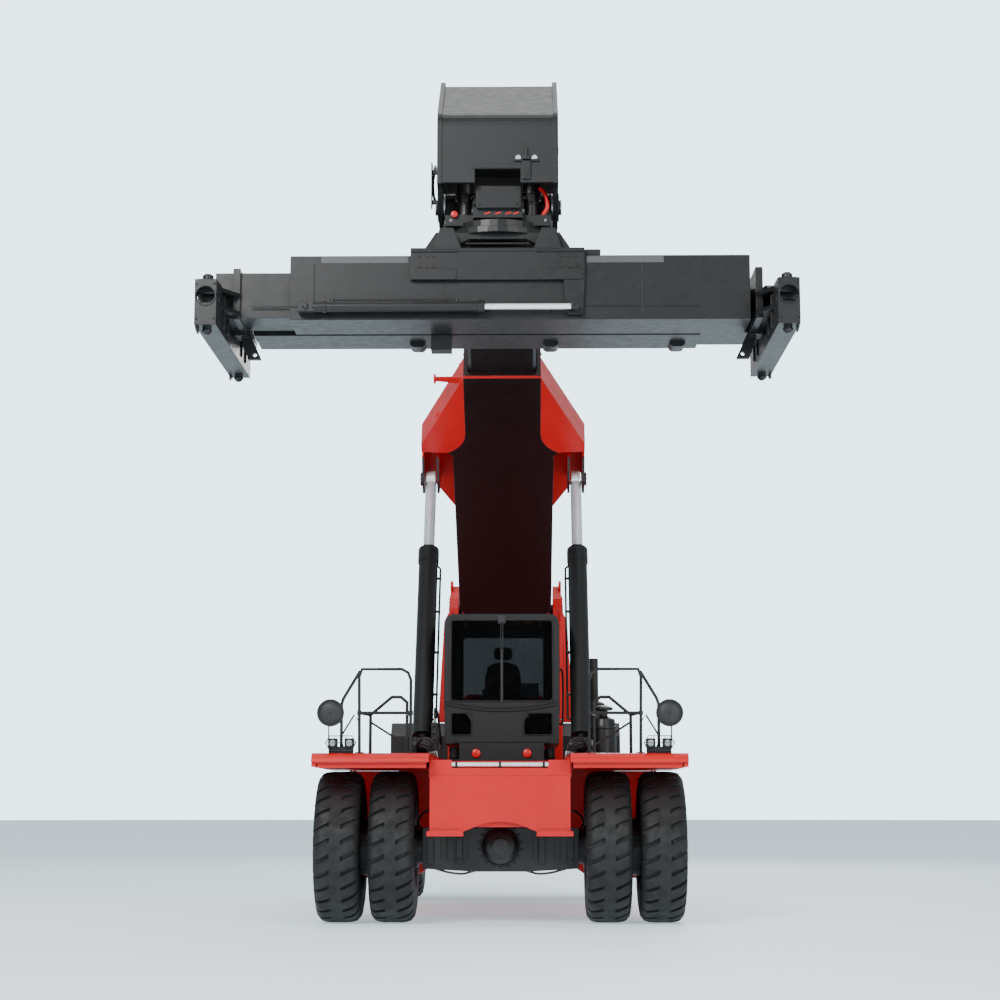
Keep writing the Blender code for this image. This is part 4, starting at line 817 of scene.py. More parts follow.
def make_rear_details():
    high = BOX["counterweight"][1]
    rear = high.y
    lamps, frames, clear = bmesh.new(), bmesh.new(), bmesh.new()
    for side in SIDES.values():
        for x, target in ((1.38, lamps), (1.22, clear)):
            turned(target, [(0, -0.002), (0.055, -0.002), (0.052, 0.014), (0.03, 0.02), (0, 0.022)],
                   (side * x, rear, 2.10), (0, 1, 0), 28)
            turned(frames, [(0.055, -0.001), (0.070, -0.001), (0.068, 0.012), (0.055, 0.012)],
                   (side * x, rear, 2.10), (0, 1, 0), 28)
        for behind in (0.5, 1.4):
            sweep(frames, curved([(side * 1.25, rear - behind - 0.05, high.z - 0.02),
                                  (side * 1.25, rear - behind - 0.05, high.z + 0.07),
                                  (side * 1.25, rear - behind + 0.05,
                                   high.z + 0.07), (side * 1.25, rear - behind + 0.05, high.z - 0.02)]),
                  0.014)
    for x in (-0.9, -0.45, 0.45, 0.9):
        sweep(frames, [(x, rear + 0.001, 1.10), (x, rear + 0.001, 2.24)], 0.006, 8)
    for z in (1.22, 1.44):
        block(frames, (-0.16, rear - 0.01, z), (0.16, rear + 0.03, z + 0.08))
    bar(frames, (0, rear + 0.006, 1.16), (0, rear + 0.006, 1.62), 0.022, 20)
    for row in range(8):
        z = 1.70 + row * 0.045
        prism(frames, "X",
              [(rear - 0.001, z), (rear + 0.014, z - 0.008), (rear + 0.014, z - 0.022), (rear - 0.001, z - 0.028)],
              -0.36, 0.36)
    piece("tail_lenses", lamps, RED_LENS, "chassis", 0)
    piece("reversing_lenses", clear, LENS, "chassis", 0)
    piece("counterweight_fittings", frames, BLACK, "chassis", 0.002)
    exhaust, filters = bmesh.new(), bmesh.new()
    deck = DECK_Z - 0.002
    x, y = 1.18, at(3.55)
    turned(exhaust,
           [(0, 0), (0.14, 0), (0.16, 0.03), (0.16, 0.72), (0.14, 0.76), (0.06, 0.80), (0.06, 1.35), (0.052, 1.35),
                     (0.052, 0.85), (0, 0.85)], (x, y, deck), (0, 0, 1), 32)
    piece("exhaust_stack", exhaust, IRON, "chassis", 0.002)
    x, y = 1.22, at(1.30)
    turned(filters, [(0, 0), (0.13, 0), (0.15, 0.02), (0.15, 0.34), (0.16, 0.345), (0.16, 0.37), (0.15, 0.375),
                     (0.13, 0.46), (0.05, 0.50), (0.05, 0.56), (0.11, 0.57), (0.11, 0.60), (0.04, 0.63), (0, 0.63)],
           (x, y, deck), (0, 0, 1), 36)
    sweep(filters, curved([(x - 0.05, y + 0.10, deck + 0.28), (x - 0.12, y + 0.30, deck + 0.30),
                           (x - 0.25, y + 0.6, deck + 0.26),
                           (x - 0.30, y + 0.9, deck + 0.18)]), 0.045, 16)
    piece("air_filter", filters, BLACK, "chassis", 0.002)


# ---- cab ---------------------------------------------------------------------------
def window_ring(mesh, node, side_axis, offset, radius=0.012):
    """A rubber seal round a pane, on the face that offset points to."""
    low, high = BOX[node]
    middle = (low + high) / 2
    free = [axis for axis in range(3) if axis != side_axis]
    outline = rounded_rectangle((low[free[0]], high[free[0]]), (low[free[1]], high[free[1]]), 0.05)
    points = []
    for first, second in outline:
        point = middle.copy()
        point[free[0]], point[free[1]] = first, second
        point[side_axis] += offset
        points.append(point)
    sweep(mesh, points, radius, 8, closed=True)


def make_cab_details():
    low, high = BOX["cab_frame"]
    front, roof = low.y, high.z
    seals = bmesh.new()
    for node, axis, offset in (("cab_windscreen", 1, -0.028), ("cab_rear_window", 1, 0.028),
                               ("cab_right_window", 0, -0.028),
                               ("cab_quarter_window", 0, 0.028), ("cab_roof_window", 2, 0.024)):
        window_ring(seals, node, axis, offset)
    piece("window_seals", seals, SEAL, "chassis", 0)
    door_seal = bmesh.new()
    window_ring(door_seal, "door_window", 0, 0.028, 0.010)
    piece("door_window_seal", door_seal, SEAL, "door", 0)
    trim = bmesh.new()
    sill = 2.50
    curve = [(-0.655 + 1.31 * step / 24, front - 0.004,
              sill - 0.02 - 0.075 * (1 - (2 * step / 24 - 1) ** 2)) for step in range(25)]
    sweep(trim, curve, 0.013, 10)
    sweep(trim, [(x, y, z + 0.035) for x, y, z in curve], 0.007, 8)
    for opening, sign in (((-0.36, 2.38), -1), ((0.26, 2.38), 1)):
        prism(trim, "Y", fillet_outline(opening, (sign * 0.12, -0.16)), front - 0.003, front + 0.02)
    for pane in PANES_X:
        arch = rounded_rectangle(pane, PANES_Z, 0.02)
        sweep(trim, [(x, front - 0.002, z) for x, z in arch], 0.009, 8, closed=True)
    block(trim, (-0.55, front - 0.02, 2.03), (0.55, front + 0.001, 2.07))
    piece("cab_front_trim", trim, BLACK, "chassis", 0)
    panes = bmesh.new()
    for near, far in PANES_X:
        block(panes, (near + 0.0005, front + 0.02, PANES_Z[0] + 0.0005),
              (far - 0.0005, front + 0.026, PANES_Z[1] - 0.0005))
    piece("corner_panes", panes, GLASS, "chassis", 0)
    make_wiper(front)
    rails = bmesh.new()
    y = at(1.76)
    sweep(rails, curved([(0.676, y, 2.30), (0.735, y, 2.32), (0.735, y, 2.90), (0.676, y, 2.92)], 8), 0.013)
    piece("cab_grab_rail", rails, BLACK, "chassis", 0)
    handle = bmesh.new()
    door_low, door_high = BOX["cab_door"]
    y = door_low.y + 0.10
    prism(handle, "X", rounded_rectangle((y - 0.05, y + 0.05), (2.30, 2.38), 0.02), 0.679, 0.686)
    sweep(handle, curved([(0.682, y - 0.035, 2.34), (0.715, y - 0.03, 2.34), (0.715, y + 0.03, 2.34),
                          (0.682, y + 0.035, 2.34)]), 0.009)
    for z in (2.50, 3.10):
        bolts(handle, [(0.6805, door_high.y - 0.12, z + dz) for dz in (-0.03, 0.03)], (1, 0, 0), 0.007)
    piece("door_handle", handle, STEEL, "door", 0.001)
    make_roof_beacon(roof)
    make_cab_inside()
    make_cab_feet()


def make_wiper(front):
    mesh = bmesh.new()
    pod = Vector((0, front - 0.004, 3.50))
    block(mesh, (pod.x - 0.045, pod.y - 0.03, pod.z - 0.055), (pod.x + 0.045, pod.y + 0.006, pod.z + 0.04))
    turned(mesh, [(0, 0), (0.022, 0), (0.018, 0.02), (0, 0.024)], (0, pod.y - 0.03, pod.z - 0.03), (0, -1, 0), 20)
    for x in (-0.012, 0.012):
        sweep(mesh, [(x, pod.y - 0.04, pod.z - 0.03), (x, pod.y - 0.035, 3.10)], 0.006, 8)
    block(mesh, (-0.014, pod.y - 0.026, 2.50), (0.014, pod.y - 0.010, 3.14))
    block(mesh, (-0.004, pod.y - 0.010, 2.50), (0.004, pod.y + 0.024, 3.14))
    piece("screen_wiper", mesh, PLASTIC, "chassis", 0.001)


def make_roof_beacon(roof):
    foot, beacon = bmesh.new(), bmesh.new()
    turned(foot, rectangle(0, 0.06, -0.003, 0.02), (0.30, at(2.45), roof), (0, 0, 1), 28)
    piece("roof_beacon_foot", foot, PLASTIC, "chassis", 0.002)
    turned(beacon, [(0, 0.018), (0.05, 0.018), (0.05, 0.09), (0.042, 0.11), (0, 0.118)], (0.30, at(2.45), roof),
           (0, 0, 1), 28)
    piece("roof_beacon", beacon, AMBER_LENS, "chassis", 0)


def cushion(name, low, high, seam_at):
    """A stuffed block: crowned faces, sides drawn in between the corners and two sewn channels."""
    mesh = bmesh.new()
    bmesh.ops.create_cube(mesh, size=2.0)
    bmesh.ops.subdivide_edges(mesh, edges=mesh.edges[:], cuts=13, use_grid_fill=True)
    centre, half = (Vector(low) + Vector(high)) / 2, (Vector(high) - Vector(low)) / 2
    thin = min(range(3), key=lambda axis: half[axis])
    wide = [axis for axis in range(3) if axis != thin]
    for vertex in mesh.verts:
        share = vertex.co.copy()
        rim = max(abs(share[wide[0]]), abs(share[wide[1]]))
        place = share.copy()
        place[thin] *= 1 - 0.38 * rim ** 5
        for axis, other in (wide, wide[::-1]):
            place[axis] *= (1 - 0.34 * share[other] ** 2) ** 0.5 - 0.05 * abs(share[thin]) ** 3
        groove = sum(exp(-((share[wide[0]] - where) / 0.07) ** 2) for where in seam_at)
        place[thin] *= 1 - 0.16 * groove
        vertex.co = centre + Vector([place[axis] * half[axis] for axis in range(3)])
    made = piece(name, mesh, CLOTH, "chassis", 0)
    smoothing = made.modifiers.new("smoothing", "SUBSURF")
    smoothing.levels = smoothing.render_levels = 1


def make_cab_inside():
    low = BOX["driver_seat"][0]
    front = low.y
    base = bmesh.new()
    for step in range(7):
        z = low.z + 0.02 + step * 0.038
        turned(base, [(0, 0), (0.17, 0), (0.20, 0.019), (0.17, 0.038), (0, 0.038)], (0, front + 0.30, z), (0, 0, 1),
               24)
    block(base, (-0.22, front + 0.06, low.z + 0.286), (0.22, front + 0.50, low.z + 0.315))
    for x in (-0.225, 0.225):
        sweep(base, curved([(x, front + 0.46, low.z + 0.42), (x * 1.05, front + 0.44, low.z + 0.60),
                            (x * 1.05, front + 0.14, low.z + 0.62)]), 0.022)
    shell = piece("seat_base", base, PLASTIC, "chassis", 0.002)
    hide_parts("driver_seat")
    cushion("seat_cushion", (-0.24, front + 0.01, low.z + 0.31), (0.24, front + 0.50, low.z + 0.44), (-0.62, 0.62))
    cushion("seat_back", (-0.23, front + 0.47, low.z + 0.42), (0.23, front + 0.58, low.z + 1.00), (-0.62, 0.62))
    cushion("seat_headrest", (-0.12, front + 0.52, low.z + 1.02), (0.12, front + 0.61, low.z + 1.19), ())
    low = BOX["steering_console"][0]
    front = low.y
    dash = bmesh.new()
    prism(dash, "X",
          [(front, low.z), (front + 0.22, low.z), (front + 0.20, low.z + 0.40), (front + 0.02, low.z + 0.40)],
          -0.155, 0.155)
    bar(dash, (0, front + 0.16, low.z + 0.16), (0, front + 0.30, low.z + 0.60), 0.036, 20)
    hub = Vector((0, front + 0.31, low.z + 0.63))
    column = Vector((0, 0.28, 0.96)).normalized()
    rim = circle(hub, 0.195, 40, column)
    sweep(dash, rim, 0.014, 10, closed=True)
    turned(dash, [(0, -0.03), (0.055, -0.03), (0.065, 0.0), (0.05, 0.02), (0, 0.024)], hub, column, 24)
    for index in (3, 16, 30):
        sweep(dash, [hub, rim[index]], 0.011, 8)
    bar(dash, rim[10], rim[10] + column * 0.05, 0.018, 14)
    block(dash, (0.34, front + 0.05, low.z), (0.52, front + 0.75, low.z + 0.46))
    sweep(dash, curved([(0.42, front + 0.50, low.z + 0.44), (0.42, front + 0.48, low.z + 0.52),
                        (0.42, front + 0.49, low.z + 0.60)]), 0.016)
    console = piece("steering_controls", dash, PLASTIC, "chassis", 0.002)
    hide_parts("steering_console")
    display = bmesh.new()
    prism(display, "X", [(front + 0.03, low.z + 0.50), (front + 0.05, low.z + 0.50), (front + 0.10, low.z + 0.66),
                         (front + 0.08, low.z + 0.67)], 0.22, 0.44)
    sweep(display, [(0.33, front + 0.05, low.z + 0.44), (0.33, front + 0.05, low.z + 0.52)], 0.012, 8)
    piece("dash_display", display, SCREEN, "chassis", 0.002)


def make_cab_feet():
    low, high = BOX["cab_mount"]
    mesh = bmesh.new()
    for side in SIDES.values():
        for y in (low.y + 0.35, high.y - 0.25):
            turned(mesh,
                   [(0, -0.02), (0.055, -0.02), (0.065, 0.0), (0.055, 0.05), (0.065, 0.10), (0.05, 0.12), (0, 0.12)],
                   (side * 0.57, y, low.z + 0.12), (0, 0, 1), 20)
            block(mesh, (side * 0.49, y - 0.07, low.z), (side * 0.65, y + 0.07, low.z + 0.10))
    piece("cab_rubber_mounts", mesh, SEAL, "chassis", 0.002)
    pads = bmesh.new()
    for x in (-0.30, 0.30):
        turned(pads, [(0, -0.01), (0.052, -0.01), (0.052, 0.02), (0.03, 0.03), (0, 0.03)], (x, low.y, low.z + 0.16),
               (0, -1, 0), 24)
    piece("mount_caps", pads, RED, "chassis", 0.001)
    manifold = bmesh.new()
    block(manifold, (-0.83, low.y + 0.02, DECK_Z + 0.16), (-0.76, low.y + 0.20, DECK_Z + 0.40))
    block(manifold, (-0.82, low.y + 0.05, DECK_Z), (-0.78, low.y + 0.16, DECK_Z + 0.17))
    bolts(manifold, [(-0.80, low.y + 0.02, DECK_Z + dz) for dz in (0.20, 0.28, 0.36)], (0, -1, 0), 0.014)
    piece("valve_manifold", manifold, BLACK, "chassis", 0.003)
    hoses("manifold_hoses",
          [[(-0.79, low.y + 0.04 + 0.05 * n, DECK_Z + 0.40), (-0.79, low.y + 0.05 + 0.05 * n, DECK_Z + 0.56),
                              (-0.76, low.y + 0.18 + 0.03 * n, DECK_Z + 0.50), (-0.73, low.y + 0.35,
                                                                                DECK_Z + 0.10 + 0.04 * n)]
                             for n in range(3)], 0.012, "chassis")


# ---- boom ---------------------------------------------------------------------------
def make_boom_details():
    half, tip = OUTER_HALF, OUTER_TIP
    steps = bmesh.new()
    for along in (5.36, 4.66):
        prism(steps, "Z", [(-half + 0.002, -along - 0.04), (-half - 0.36, -along - 0.04),
                           (-half - 0.36, -along + 0.03), (-half + 0.002, -along + 0.09)], -0.308, -0.292, tilted)
        prism(steps, "Z", rectangle(-half - 0.34, -half - 0.37, -along - 0.06, -along + 0.05), -0.33, -0.27, tilted)
    piece("boom_side_brackets", steps, RED, "boom", 0.002)
    pipes, clamps = bmesh.new(), bmesh.new()
    for x in (-half - 0.030, -half - 0.060):
        sweep(pipes, [on_boom(x, along, 0.10) for along in (5.2, 4.6, 3.0, 1.2, 0.55)], 0.011)
    sweep(pipes, curved([on_boom(-half - 0.03, 2.6, -0.02), on_boom(-half - 0.03, 1.9, -0.16),
                         on_boom(-half - 0.05, 1.2, -0.30),
                         on_boom(-half - 0.04, 0.7, -0.28), on_boom(-half - 0.02, 0.5, -0.12)]), 0.010)
    for along in (4.9, 4.0, 3.1, 2.2, 1.3):
        prism(clamps, "Z", rectangle(-half + 0.001, -half - 0.08, -along - 0.03, -along + 0.03), 0.082, 0.118, tilted)
    for side in SIDES.values():
        for x in (0.20, 0.26):
            sweep(pipes, [on_boom(side * x, along, 0.462) for along in (5.3, 4.0, 2.0, 0.3)], 0.013)
        for along in (5.0, 4.1, 3.2, 2.3, 1.4, 0.6):
            prism(clamps, "Z", rectangle(side * 0.17, side * 0.29, -along - 0.03, -along + 0.03), 0.439, 0.478,
                  tilted)
    piece("boom_pipes", pipes, RED, "boom", 0)
    piece("boom_pipe_clamps", clamps, BLACK, "boom", 0.002)
    fittings = bmesh.new()
    out = tilted(Vector((0, 0, 1))) - tilted(Vector((0, 0, 0)))
    for along in (5.42, 5.28):
        bolts(fittings, [on_boom(x, along, 0.44) for x in (-0.36, -0.12, 0.12, 0.36)], out, 0.014)
        for side in SIDES.values():
            bolts(fittings, [on_boom(side * half, along, above) for above in (0.05, 0.20, 0.35)], (side, 0, 0), 0.013)
    for side in SIDES.values():
        bolt_circle(fittings, on_boom(side * 1.075, 3.62, -0.48), 0.062, 6, (side, 0, 0), 0.009)
        bolt_circle(fittings, on_boom(side * 0.62, 0, 0), 0.19, 12, (side, 0, 0), 0.010)
    piece("boom_bolts", fittings, STEEL, "boom", 0.001)
    collar = bmesh.new()
    prism(collar, "Z", rectangle(-half, half, -tip, -tip + 0.07), 0.4385, 0.47, tilted)
    for side in SIDES.values():
        outline = [(side * x, y) for x,
                   y in ((half + 0.04, -5.30), (1.02, -4.24), (0.99, -4.22), (half + 0.01, -5.24))]
        prism(collar, "Z", outline, -0.052, -0.03, tilted)
    piece("boom_collar", collar, RED, "boom", 0.003)
    inner = bmesh.new()
    for side in SIDES.values():
        sweep(inner, [on_boom(side * 0.30, along, 0.392) for along in (7.35, 7.1, 6.92)], 0.010)
    for along in (6.96, 7.2):
        prism(inner, "Z", rectangle(-0.33, 0.33, -along - 0.02, -along + 0.02),
              0.379, 0.388, tilted)
    piece("inner_boom_lines", inner, BLACK, "boom_extension", 0)
    for label, side in SIDES.items():
        tower = bmesh.new()
        y, z = PIVOT.y, PIVOT.z
        turned(tower, rectangle(0.12, 0.22, 0, 0.018), (side * 0.80, y, z), (side, 0, 0), 36)
        bolt_circle(tower, (side * 0.818, y, z), 0.18, 10, (side, 0, 0), 0.011)
        prism(tower, "X", rounded_rectangle((y - 0.75, y + 0.45), (2.62, 3.30), 0.10),
              *sorted((side * 0.799, side * 0.806)))
        piece("tower_fittings_" + label, tower, RED, "chassis", 0.002)


def make_cylinders():
    for label, side in SIDES.items():
        joint = JOINTS["lift_swing_" + label]
        base = Vector(joint["pos_m"])
        way = Vector(JOINTS["lift_stroke_" + label]["axis"]).normalized()
        forward = Vector((1, 0, 0)).cross(way)
        if forward.y > 0:
            forward = -forward
        inner = Vector((-side, 0, 0))
        collar, pipe = bmesh.new(), bmesh.new()
        turned(collar, [(0.074, 0), (0.124, 0), (0.130, 0.012), (0.130, 0.05), (0.10, 0.062), (0.074, 0.066)],
               base + way * BARREL_MOUTH, way, 36)
        bolts(collar, [base + way * (BARREL_MOUTH + 0.064) + spot for spot in circle((0, 0, 0), 0.105, 8, way)], way,
              0.009)
        piece("cylinder_gland_" + label, collar, BLACK, "lift_barrel_" + label, 0.001)
        start = inner * 0.155
        sweep(pipe, [base + way * 0.35 + inner * 0.11, base + way * 0.37 + start, base + way * 0.60 + start,
                     base + way * 2.45 + start, base + way * 2.55 + start, base + way * 2.60 + inner * 0.11], 0.013)
        for distance in (0.7, 1.3, 1.9, 2.4):
            bar(pipe, base + way * distance + inner * 0.11, base + way * distance + inner * 0.17, 0.017, 10)
        piece("cylinder_pipe_" + label, pipe, BLACK, "lift_barrel_" + label, 0)
        wiper = bmesh.new()
        turned(wiper, [(0.071, 0), (0.085, 0), (0.080, 0.02), (0.071, 0.02)], base + way * (BARREL_MOUTH + 0.065),
               way, 32)
        piece("rod_wiper_" + label, wiper, SEAL, "lift_barrel_" + label, 0)
        foot = bmesh.new()
        for edge in (-1, 1):
            turned(foot, [(0, 0), (0.062, 0), (0.062, 0.010), (0.04, 0.016), (0, 0.016)],
                   base + Vector((edge * 0.12, 0, 0)), (edge, 0, 0), 24)
        corners = [(dx, dy) for dx in (-0.11, 0.11) for dy in (-0.17, 0.17)]
        bolts(foot, [(base.x + dx, base.y + dy, DECK_Z + 0.022) for dx, dy in corners], (0, 0, 1), 0.013)
        piece("lift_foot_fittings_" + label, foot, STEEL, "chassis", 0.001)
        deck = DECK_Z + 0.015
        routes = []
        for n in range(4):
            reach = 0.17 + 0.03 * n
            routes.append([(base.x + inner.x * (0.13 + 0.02 * n), base.y - 0.20 - 0.035 * n, deck),
                           (base.x + inner.x * (0.05 + 0.03 * n), base.y - reach - 0.05, deck + 0.09 + 0.02 * n),
                           (base.x - inner.x * (0.06 - 0.02 * n), base.y - reach - 0.02, deck + 0.10 + 0.03 * n),
                           (base.x - inner.x * (0.16 - 0.01 * n), base.y - 0.19, deck)])
        hoses("cylinder_hoses_" + label, routes, 0.013, "chassis")


# ---- boom head and spreader ------------------------------------------------------------
def make_head_details():
    low = BOX["boom_head"][0]
    half = HEAD_HALF
    pin_y, pin_z = SPREADER.y, JOINTS["spreader_tilt"]["pos_m"][2]
    rings = bmesh.new()
    for side in SIDES.values():
        turned(rings, rectangle(0.0, 0.085, 0.012, 0.0), (side * (half + 0.031), pin_y, pin_z), (side, 0, 0), 32)
        for distance, radius in ((0.052, 0.150), (0.09, 0.13)):
            turned(rings, rectangle(0.082, radius, 0, 0.016),
                   (side * (half - distance - 0.016), pin_y, pin_z), (side, 0, 0), 36)
    piece("head_pin_washers", rings, CHROME, "hanger", 0.002)
    plate = bmesh.new()
    brow_y = low.y + 0.022
    sweep(plate, [(-0.61, brow_y - 0.001, 8.33), (0.61, brow_y - 0.001, 8.33)], 0.008, 8)
    for side in SIDES.values():
        sweep(plate, [(side * 0.60, low.y + 0.006, 7.80), (side * 0.60, low.y + 0.006, 8.30)], 0.006, 8)
    block(plate, (-0.30, low.y + 0.006, 7.885), (0.30, low.y + 0.016, 7.93))
    piece("head_cover_beads", plate, HEAD, "boom_extension", 0)
    bracket = bmesh.new()
    x = 0.30
    block(bracket, (x - 0.045, low.y - 0.012, 7.76), (x + 0.045, low.y + 0.012, 8.02))
    block(bracket, (x - 0.012, low.y - 0.02, 7.98), (x + 0.012, low.y + 0.006, 8.10))
    block(bracket, (x - 0.13, low.y - 0.012, 7.955), (x + 0.13, low.y + 0.010, 7.975))
    piece("head_lamp_bracket", bracket, BLACK, "boom_extension", 0.002)
    lamps = bmesh.new()
    for dx in (-0.085, 0.085):
        turned(lamps, [(0, 0), (0.032, 0), (0.028, 0.012), (0, 0.015)], (x + dx, low.y + 0.012, 7.995), (0, -1, 0),
               20)
    piece("head_lamps", lamps, LENS, "boom_extension", 0)
    cheek = bmesh.new()
    for side in SIDES.values():
        outline = [(low.y + 0.30, 7.55), (low.y + 0.38, 7.55), (low.y + 0.44, 8.05), (low.y + 0.30, 8.05)]
        if side < 0:
            prism(cheek, "X", outline, -half - 0.075, -half - 0.062)
            for z in (7.62, 7.95):
                block(cheek, (-half - 0.07, low.y + 0.33, z - 0.02), (-half + 0.002, low.y + 0.38, z + 0.02))
        for spot in ((low.y + 0.9, 8.55), (low.y + 1.2, 8.45), (low.y + 0.55, 8.25)):
            turned(cheek, [(0, -0.002), (0.045, -0.002), (0.045, 0.012), (0, 0.014)], (side * half, *spot),
                   (side, 0, 0), 20)
    piece("head_hose_bracket", cheek, BLACK, "boom_extension", 0.002)
    hoses("head_hoses",
          [[(-half - 0.035, low.y + 0.42 - 0.03 * n, 8.02), (-half - 0.055, low.y + 0.40 - 0.03 * n, 7.85),
                          (-half - 0.05, low.y + 0.42, 7.72 - 0.02 * n), (-half - 0.03, low.y + 0.50,
                                                                          7.66)] for n in range(2)],
          0.012, "boom_extension")


def make_hanger_details():
    y = SPREADER.y
    mesh = bmesh.new()
    for side in SIDES.values():
        x = side * 0.35
        for z, radius in ((7.47, 0.105), (7.60, 0.10), (7.72, 0.10), (7.855, 0.070)):
            turned(mesh, [(0, 0), (radius, 0), (radius, 0.018), (0, 0.020)], (x, y - 0.20, z), (0, 0, 1), 28)
        bolt_circle(mesh, (x, y - 0.20, 7.738), 0.088, 6, (0, 0, 1), 0.008)
        block(mesh, (x - 0.035, y - 0.315, 7.62), (x + 0.035, y - 0.26, 7.70))
    piece("slew_motor_flanges", mesh, BLACK, "hanger", 0.001)
    box_low, box_high = Vector((-0.22, y - 0.50, 7.50)), Vector((0.23, y - 0.30, 7.72))
    cover = bmesh.new()
    prism(cover, "Y",
          rounded_rectangle((box_low.x - 0.01, box_high.x + 0.01), (box_low.z - 0.008, box_high.z + 0.008), 0.02),
          box_low.y - 0.012, box_low.y + 0.01)
    prism(cover, "Z",
          rounded_rectangle((box_low.x - 0.008, box_high.x + 0.008), (box_low.y - 0.01, box_high.y + 0.01), 0.02),
          box_high.z - 0.002, box_high.z + 0.012)
    bolts(cover, [(x, box_low.y - 0.012, z) for x in (box_low.x + 0.03, box_high.x - 0.03) for z in (7.53, 7.69)],
          (0, -1, 0), 0.008)
    piece("valve_box_cover", cover, BLACK, "hanger", 0.002)
    red = bmesh.new()
    for x in (-0.14, -0.03, 0.08, 0.16):
        bar(red, (x, y - 0.44, 7.44), (x + 0.06, y - 0.44, 7.46), 0.022, 14)
    sweep(red, curved([(0.47, y - 0.32, 7.46), (0.52, y - 0.34, 7.55), (0.50, y - 0.34, 7.68),
                       (0.44, y - 0.33, 7.76)]), 0.022)
    turned(red, [(0, 0), (0.035, 0.008), (0.035, 0.04), (0, 0.05)], (-0.46, y - 0.36, 7.46), (0, -1, 0), 18)
    piece("hanger_red_lines", red, RED, "hanger", 0)
    hoses("slew_motor_hoses", [[(side * 0.29, y - 0.31, 7.66), (side * 0.25, y - 0.40, 7.64 - 0.01 * n),
                                (side * (0.24 + 0.02 * n), y - 0.43, 7.56),
                                (side * 0.27, y - 0.36, 7.48)] for side in (-1,
                                                                            1) for n in range(2)], 0.011, "hanger")
    ring = bmesh.new()
    corners = [(x, y + dy, 7.46) for x in (-0.50, -0.25, 0.0, 0.25, 0.50) for dy in (-0.33, 0.33)]
    bolts(ring, corners, (0, 0, 1), 0.011)
    bolts(ring, [(x, y - 0.36, 7.40) for x in (-0.50, 0.0, 0.50)], (0, -1, 0), 0.011)
    piece("hanger_bolts", ring, STEEL, "hanger", 0.001)


def make_rotator_details():
    y = SPREADER.y
    mesh = bmesh.new()
    bolt_circle(mesh, (0, y, 7.2742), 0.575, 36, (0, 0, 1), 0.008)
    for side in SIDES.values():
        for x in (0.66, 0.735, 0.81):
            bolts(mesh, [(side * x, y - 0.722, z) for z in (6.91, 6.80)], (0, -1, 0), 0.010)
    piece("rotator_bolts", mesh, IRON, "slew_frame", 0.001)
    plates = bmesh.new()
    for side in SIDES.values():
        shoe = rounded_rectangle(sorted((side * 0.42, side * 0.885)), (6.66, 6.78), 0.03)
        prism(plates, "Y", shoe, y - 0.733, y - 0.719)
        prism(plates, "Y", [(side * 0.46, 6.965), (side * 0.80, 6.965), (side * 0.645, 7.20), (side * 0.50, 7.20)],
              y - 0.600, y - 0.520)
        block(plates, (side * 0.40, y - 0.735, 6.955), (side * 0.90, y - 0.66, 6.975))
    for z in (7.02, 7.10):
        block(plates, (-0.34, y - 0.50, z), (0.34, y - 0.46, z + 0.02))
    block(plates, (-0.885, y - 0.728, 6.962), (0.885, y - 0.718, 6.985))
    prism(plates, "Y", rounded_rectangle((0.895, 1.07), (6.945, 7.01), 0.02), y - 0.62, y - 0.46)
    piece("rotator_plates", plates, BLACK, "slew_frame", 0.003)


def make_spreader_details():
    y = SPREADER.y
    low, high = BOX["spreader_frame"]
    front, top = low.y, high.z
    strips = bmesh.new()
    for x_range in ((-1.83, -0.92), (0.92, 1.72)):
        prism(strips, "X", [(front - 0.004, top - 0.008), (front - 0.004, top - 0.075), (front + 0.010, top - 0.082),
                            (front + 0.010, top - 0.001)], *x_range)
    piece("spreader_top_strips", strips, STRIP, "spreader", 0.001)
    bumps = bmesh.new()
    for x in (-0.88, 0.56, 1.93):
        outline = rounded_rectangle((x - 0.085, x + 0.085), (low.z - 0.055, low.z + 0.10), 0.05)
        prism(bumps, "Y", outline, y + 0.34, y + 0.60)
    for x in (-1.9, -0.55, 0.55, 1.5):
        block(bumps, (x - 0.006, front - 0.006, low.z + 0.01), (x + 0.006, front + 0.004, top - 0.09))
    sweep(bumps, [(-2.55, front - 0.002, low.z + 0.14), (2.10, front - 0.002, low.z + 0.14)], 0.007, 8)
    piece("spreader_pads", bumps, BLACK, "spreader", 0.003)
    box_mesh = bmesh.new()
    block(box_mesh, (-0.72, y + 0.02, low.z - 0.16), (-0.50, y + 0.22, low.z + 0.002))
    piece("spreader_control_box", box_mesh, PLASTIC, "spreader", 0.003)
    caps = bmesh.new()
    rod_low, rod_high = BOX["side_shift_rod"]
    axis_y, axis_z = (rod_low.y + rod_high.y) / 2, (rod_low.z + rod_high.z) / 2
    turned(caps, [(0.0315, 0), (0.062, 0), (0.062, 0.06), (0.05, 0.07), (0.0315, 0.07)], (-0.20, axis_y, axis_z),
           (1, 0, 0), 28)
    turned(caps, [(0.0525, 0), (0.060, 0.004), (0.060, 0.04), (0.0525, 0.044)], (-1.80, axis_y, axis_z), (1, 0, 0),
           28)
    for x in (-1.70, -0.42):
        bar(caps, (x, axis_y, axis_z + 0.04), (x, axis_y, axis_z + 0.085), 0.018, 14)
    sweep(caps, [(-1.70, axis_y, axis_z + 0.075), (-0.42, axis_y, axis_z + 0.075)], 0.009, 8)
    bolts(caps, [(-1.97, axis_y - 0.04, axis_z)], (0, -1, 0), 0.026)
    piece("shift_cylinder_fittings", caps, BLACK, "spreader", 0.001)
    for label, side in SIDES.items():
        make_end_beam_details(label, side)


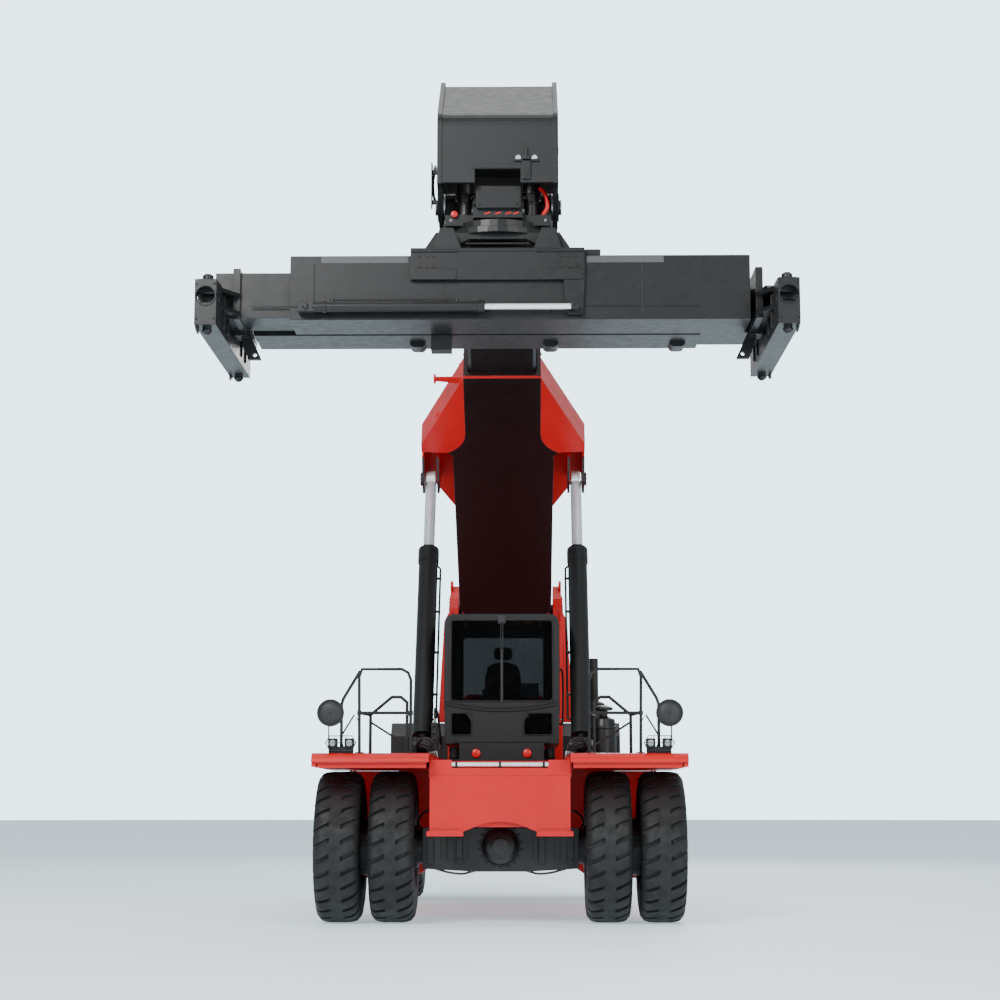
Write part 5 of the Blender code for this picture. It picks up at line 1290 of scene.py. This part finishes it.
def make_end_beam_details(label, side):
    y = SPREADER.y
    body = "telescope_" + label
    corner_x, corner_y = TWISTLOCKS[0] / 2, TWISTLOCKS[1] / 2
    trim, metal_parts = bmesh.new(), bmesh.new()
    for row in (-1, 1):
        end = y + row * (corner_y + 0.14)
        turned(trim, rectangle(0.095, 0.108, -0.002, 0.008),
               (side * corner_x, end, 6.36), (0, row, 0), 32)
        for dx in (-0.09, 0.09):
            bolts(trim, [(side * corner_x + dx, end, z) for z in (6.12, 6.48)], (0, row, 0), 0.009)
        lock = y + row * corner_y
        prism(trim, "Z",
              rounded_rectangle((side * corner_x - 0.09, side * corner_x + 0.09), (lock - 0.085, lock + 0.085), 0.02),
              6.528, 6.548)
        turned(trim, [(0, 0), (0.055, 0), (0.055, 0.05), (0.03, 0.07), (0, 0.072)], (side * corner_x, lock, 6.545),
               (0, 0, 1), 24)
        sweep(metal_parts, [(side * corner_x, lock, LOCK_TOP), (side * corner_x, lock - row * 0.28, LOCK_TOP),
                            (side * corner_x, lock - row * 0.34, 6.56)], 0.014)
        for step in (0.32, 0.62):
            outline = [(side * (corner_x - 0.106), 6.12), (side * (corner_x - 0.13), 6.14),
                       (side * (corner_x - 0.13), 6.46),
                       (side * (corner_x - 0.106), 6.48)]
            prism(trim, "Y", outline, lock - row * step - 0.012, lock - row * step + 0.012)
        guide = [(end, 6.10), (end - row * 0.16, 6.06), (end - row * 0.16, 6.00), (end - row * 0.03, 6.03)]
        prism(trim, "X", guide, *sorted((side * (corner_x + 0.085), side * (corner_x + 0.105))))
    bar(trim, (side * corner_x, y - 0.42, LOCK_TOP), (side * corner_x, y + 0.42, LOCK_TOP), 0.038, 20)
    for dy in (-0.42, 0.42):
        turned(trim, rectangle(0, 0.048, -0.03, 0.03), (side * corner_x, y + dy, LOCK_TOP), (0, 1, 0), 20)
    piece("end_beam_trim_" + label, trim, BLACK, body, 0.002)
    piece("end_beam_rods_" + label, metal_parts, STEEL, body, 0.001)
    hoses("end_beam_hoses_" + label,
          [[(side * 2.74, y - 0.30 + 0.05 * n, 6.55), (side * 2.80, y - 0.30 + 0.05 * n, 6.68),
                                       (side * 2.88, y - 0.22 + 0.04 * n, 6.70), (side * 2.92, y - 0.16 + 0.04 * n,
                                                                                  6.63)] for n in range(2)],
          0.011, body)


finish_cad()
make_stage()
make_wheels()
make_axle_details()
make_nose_details()
make_deck_details()
make_side_details()
make_cab_details()
make_boom_details()
make_cylinders()
make_head_details()
make_hanger_details()
make_rotator_details()
make_spreader_details()
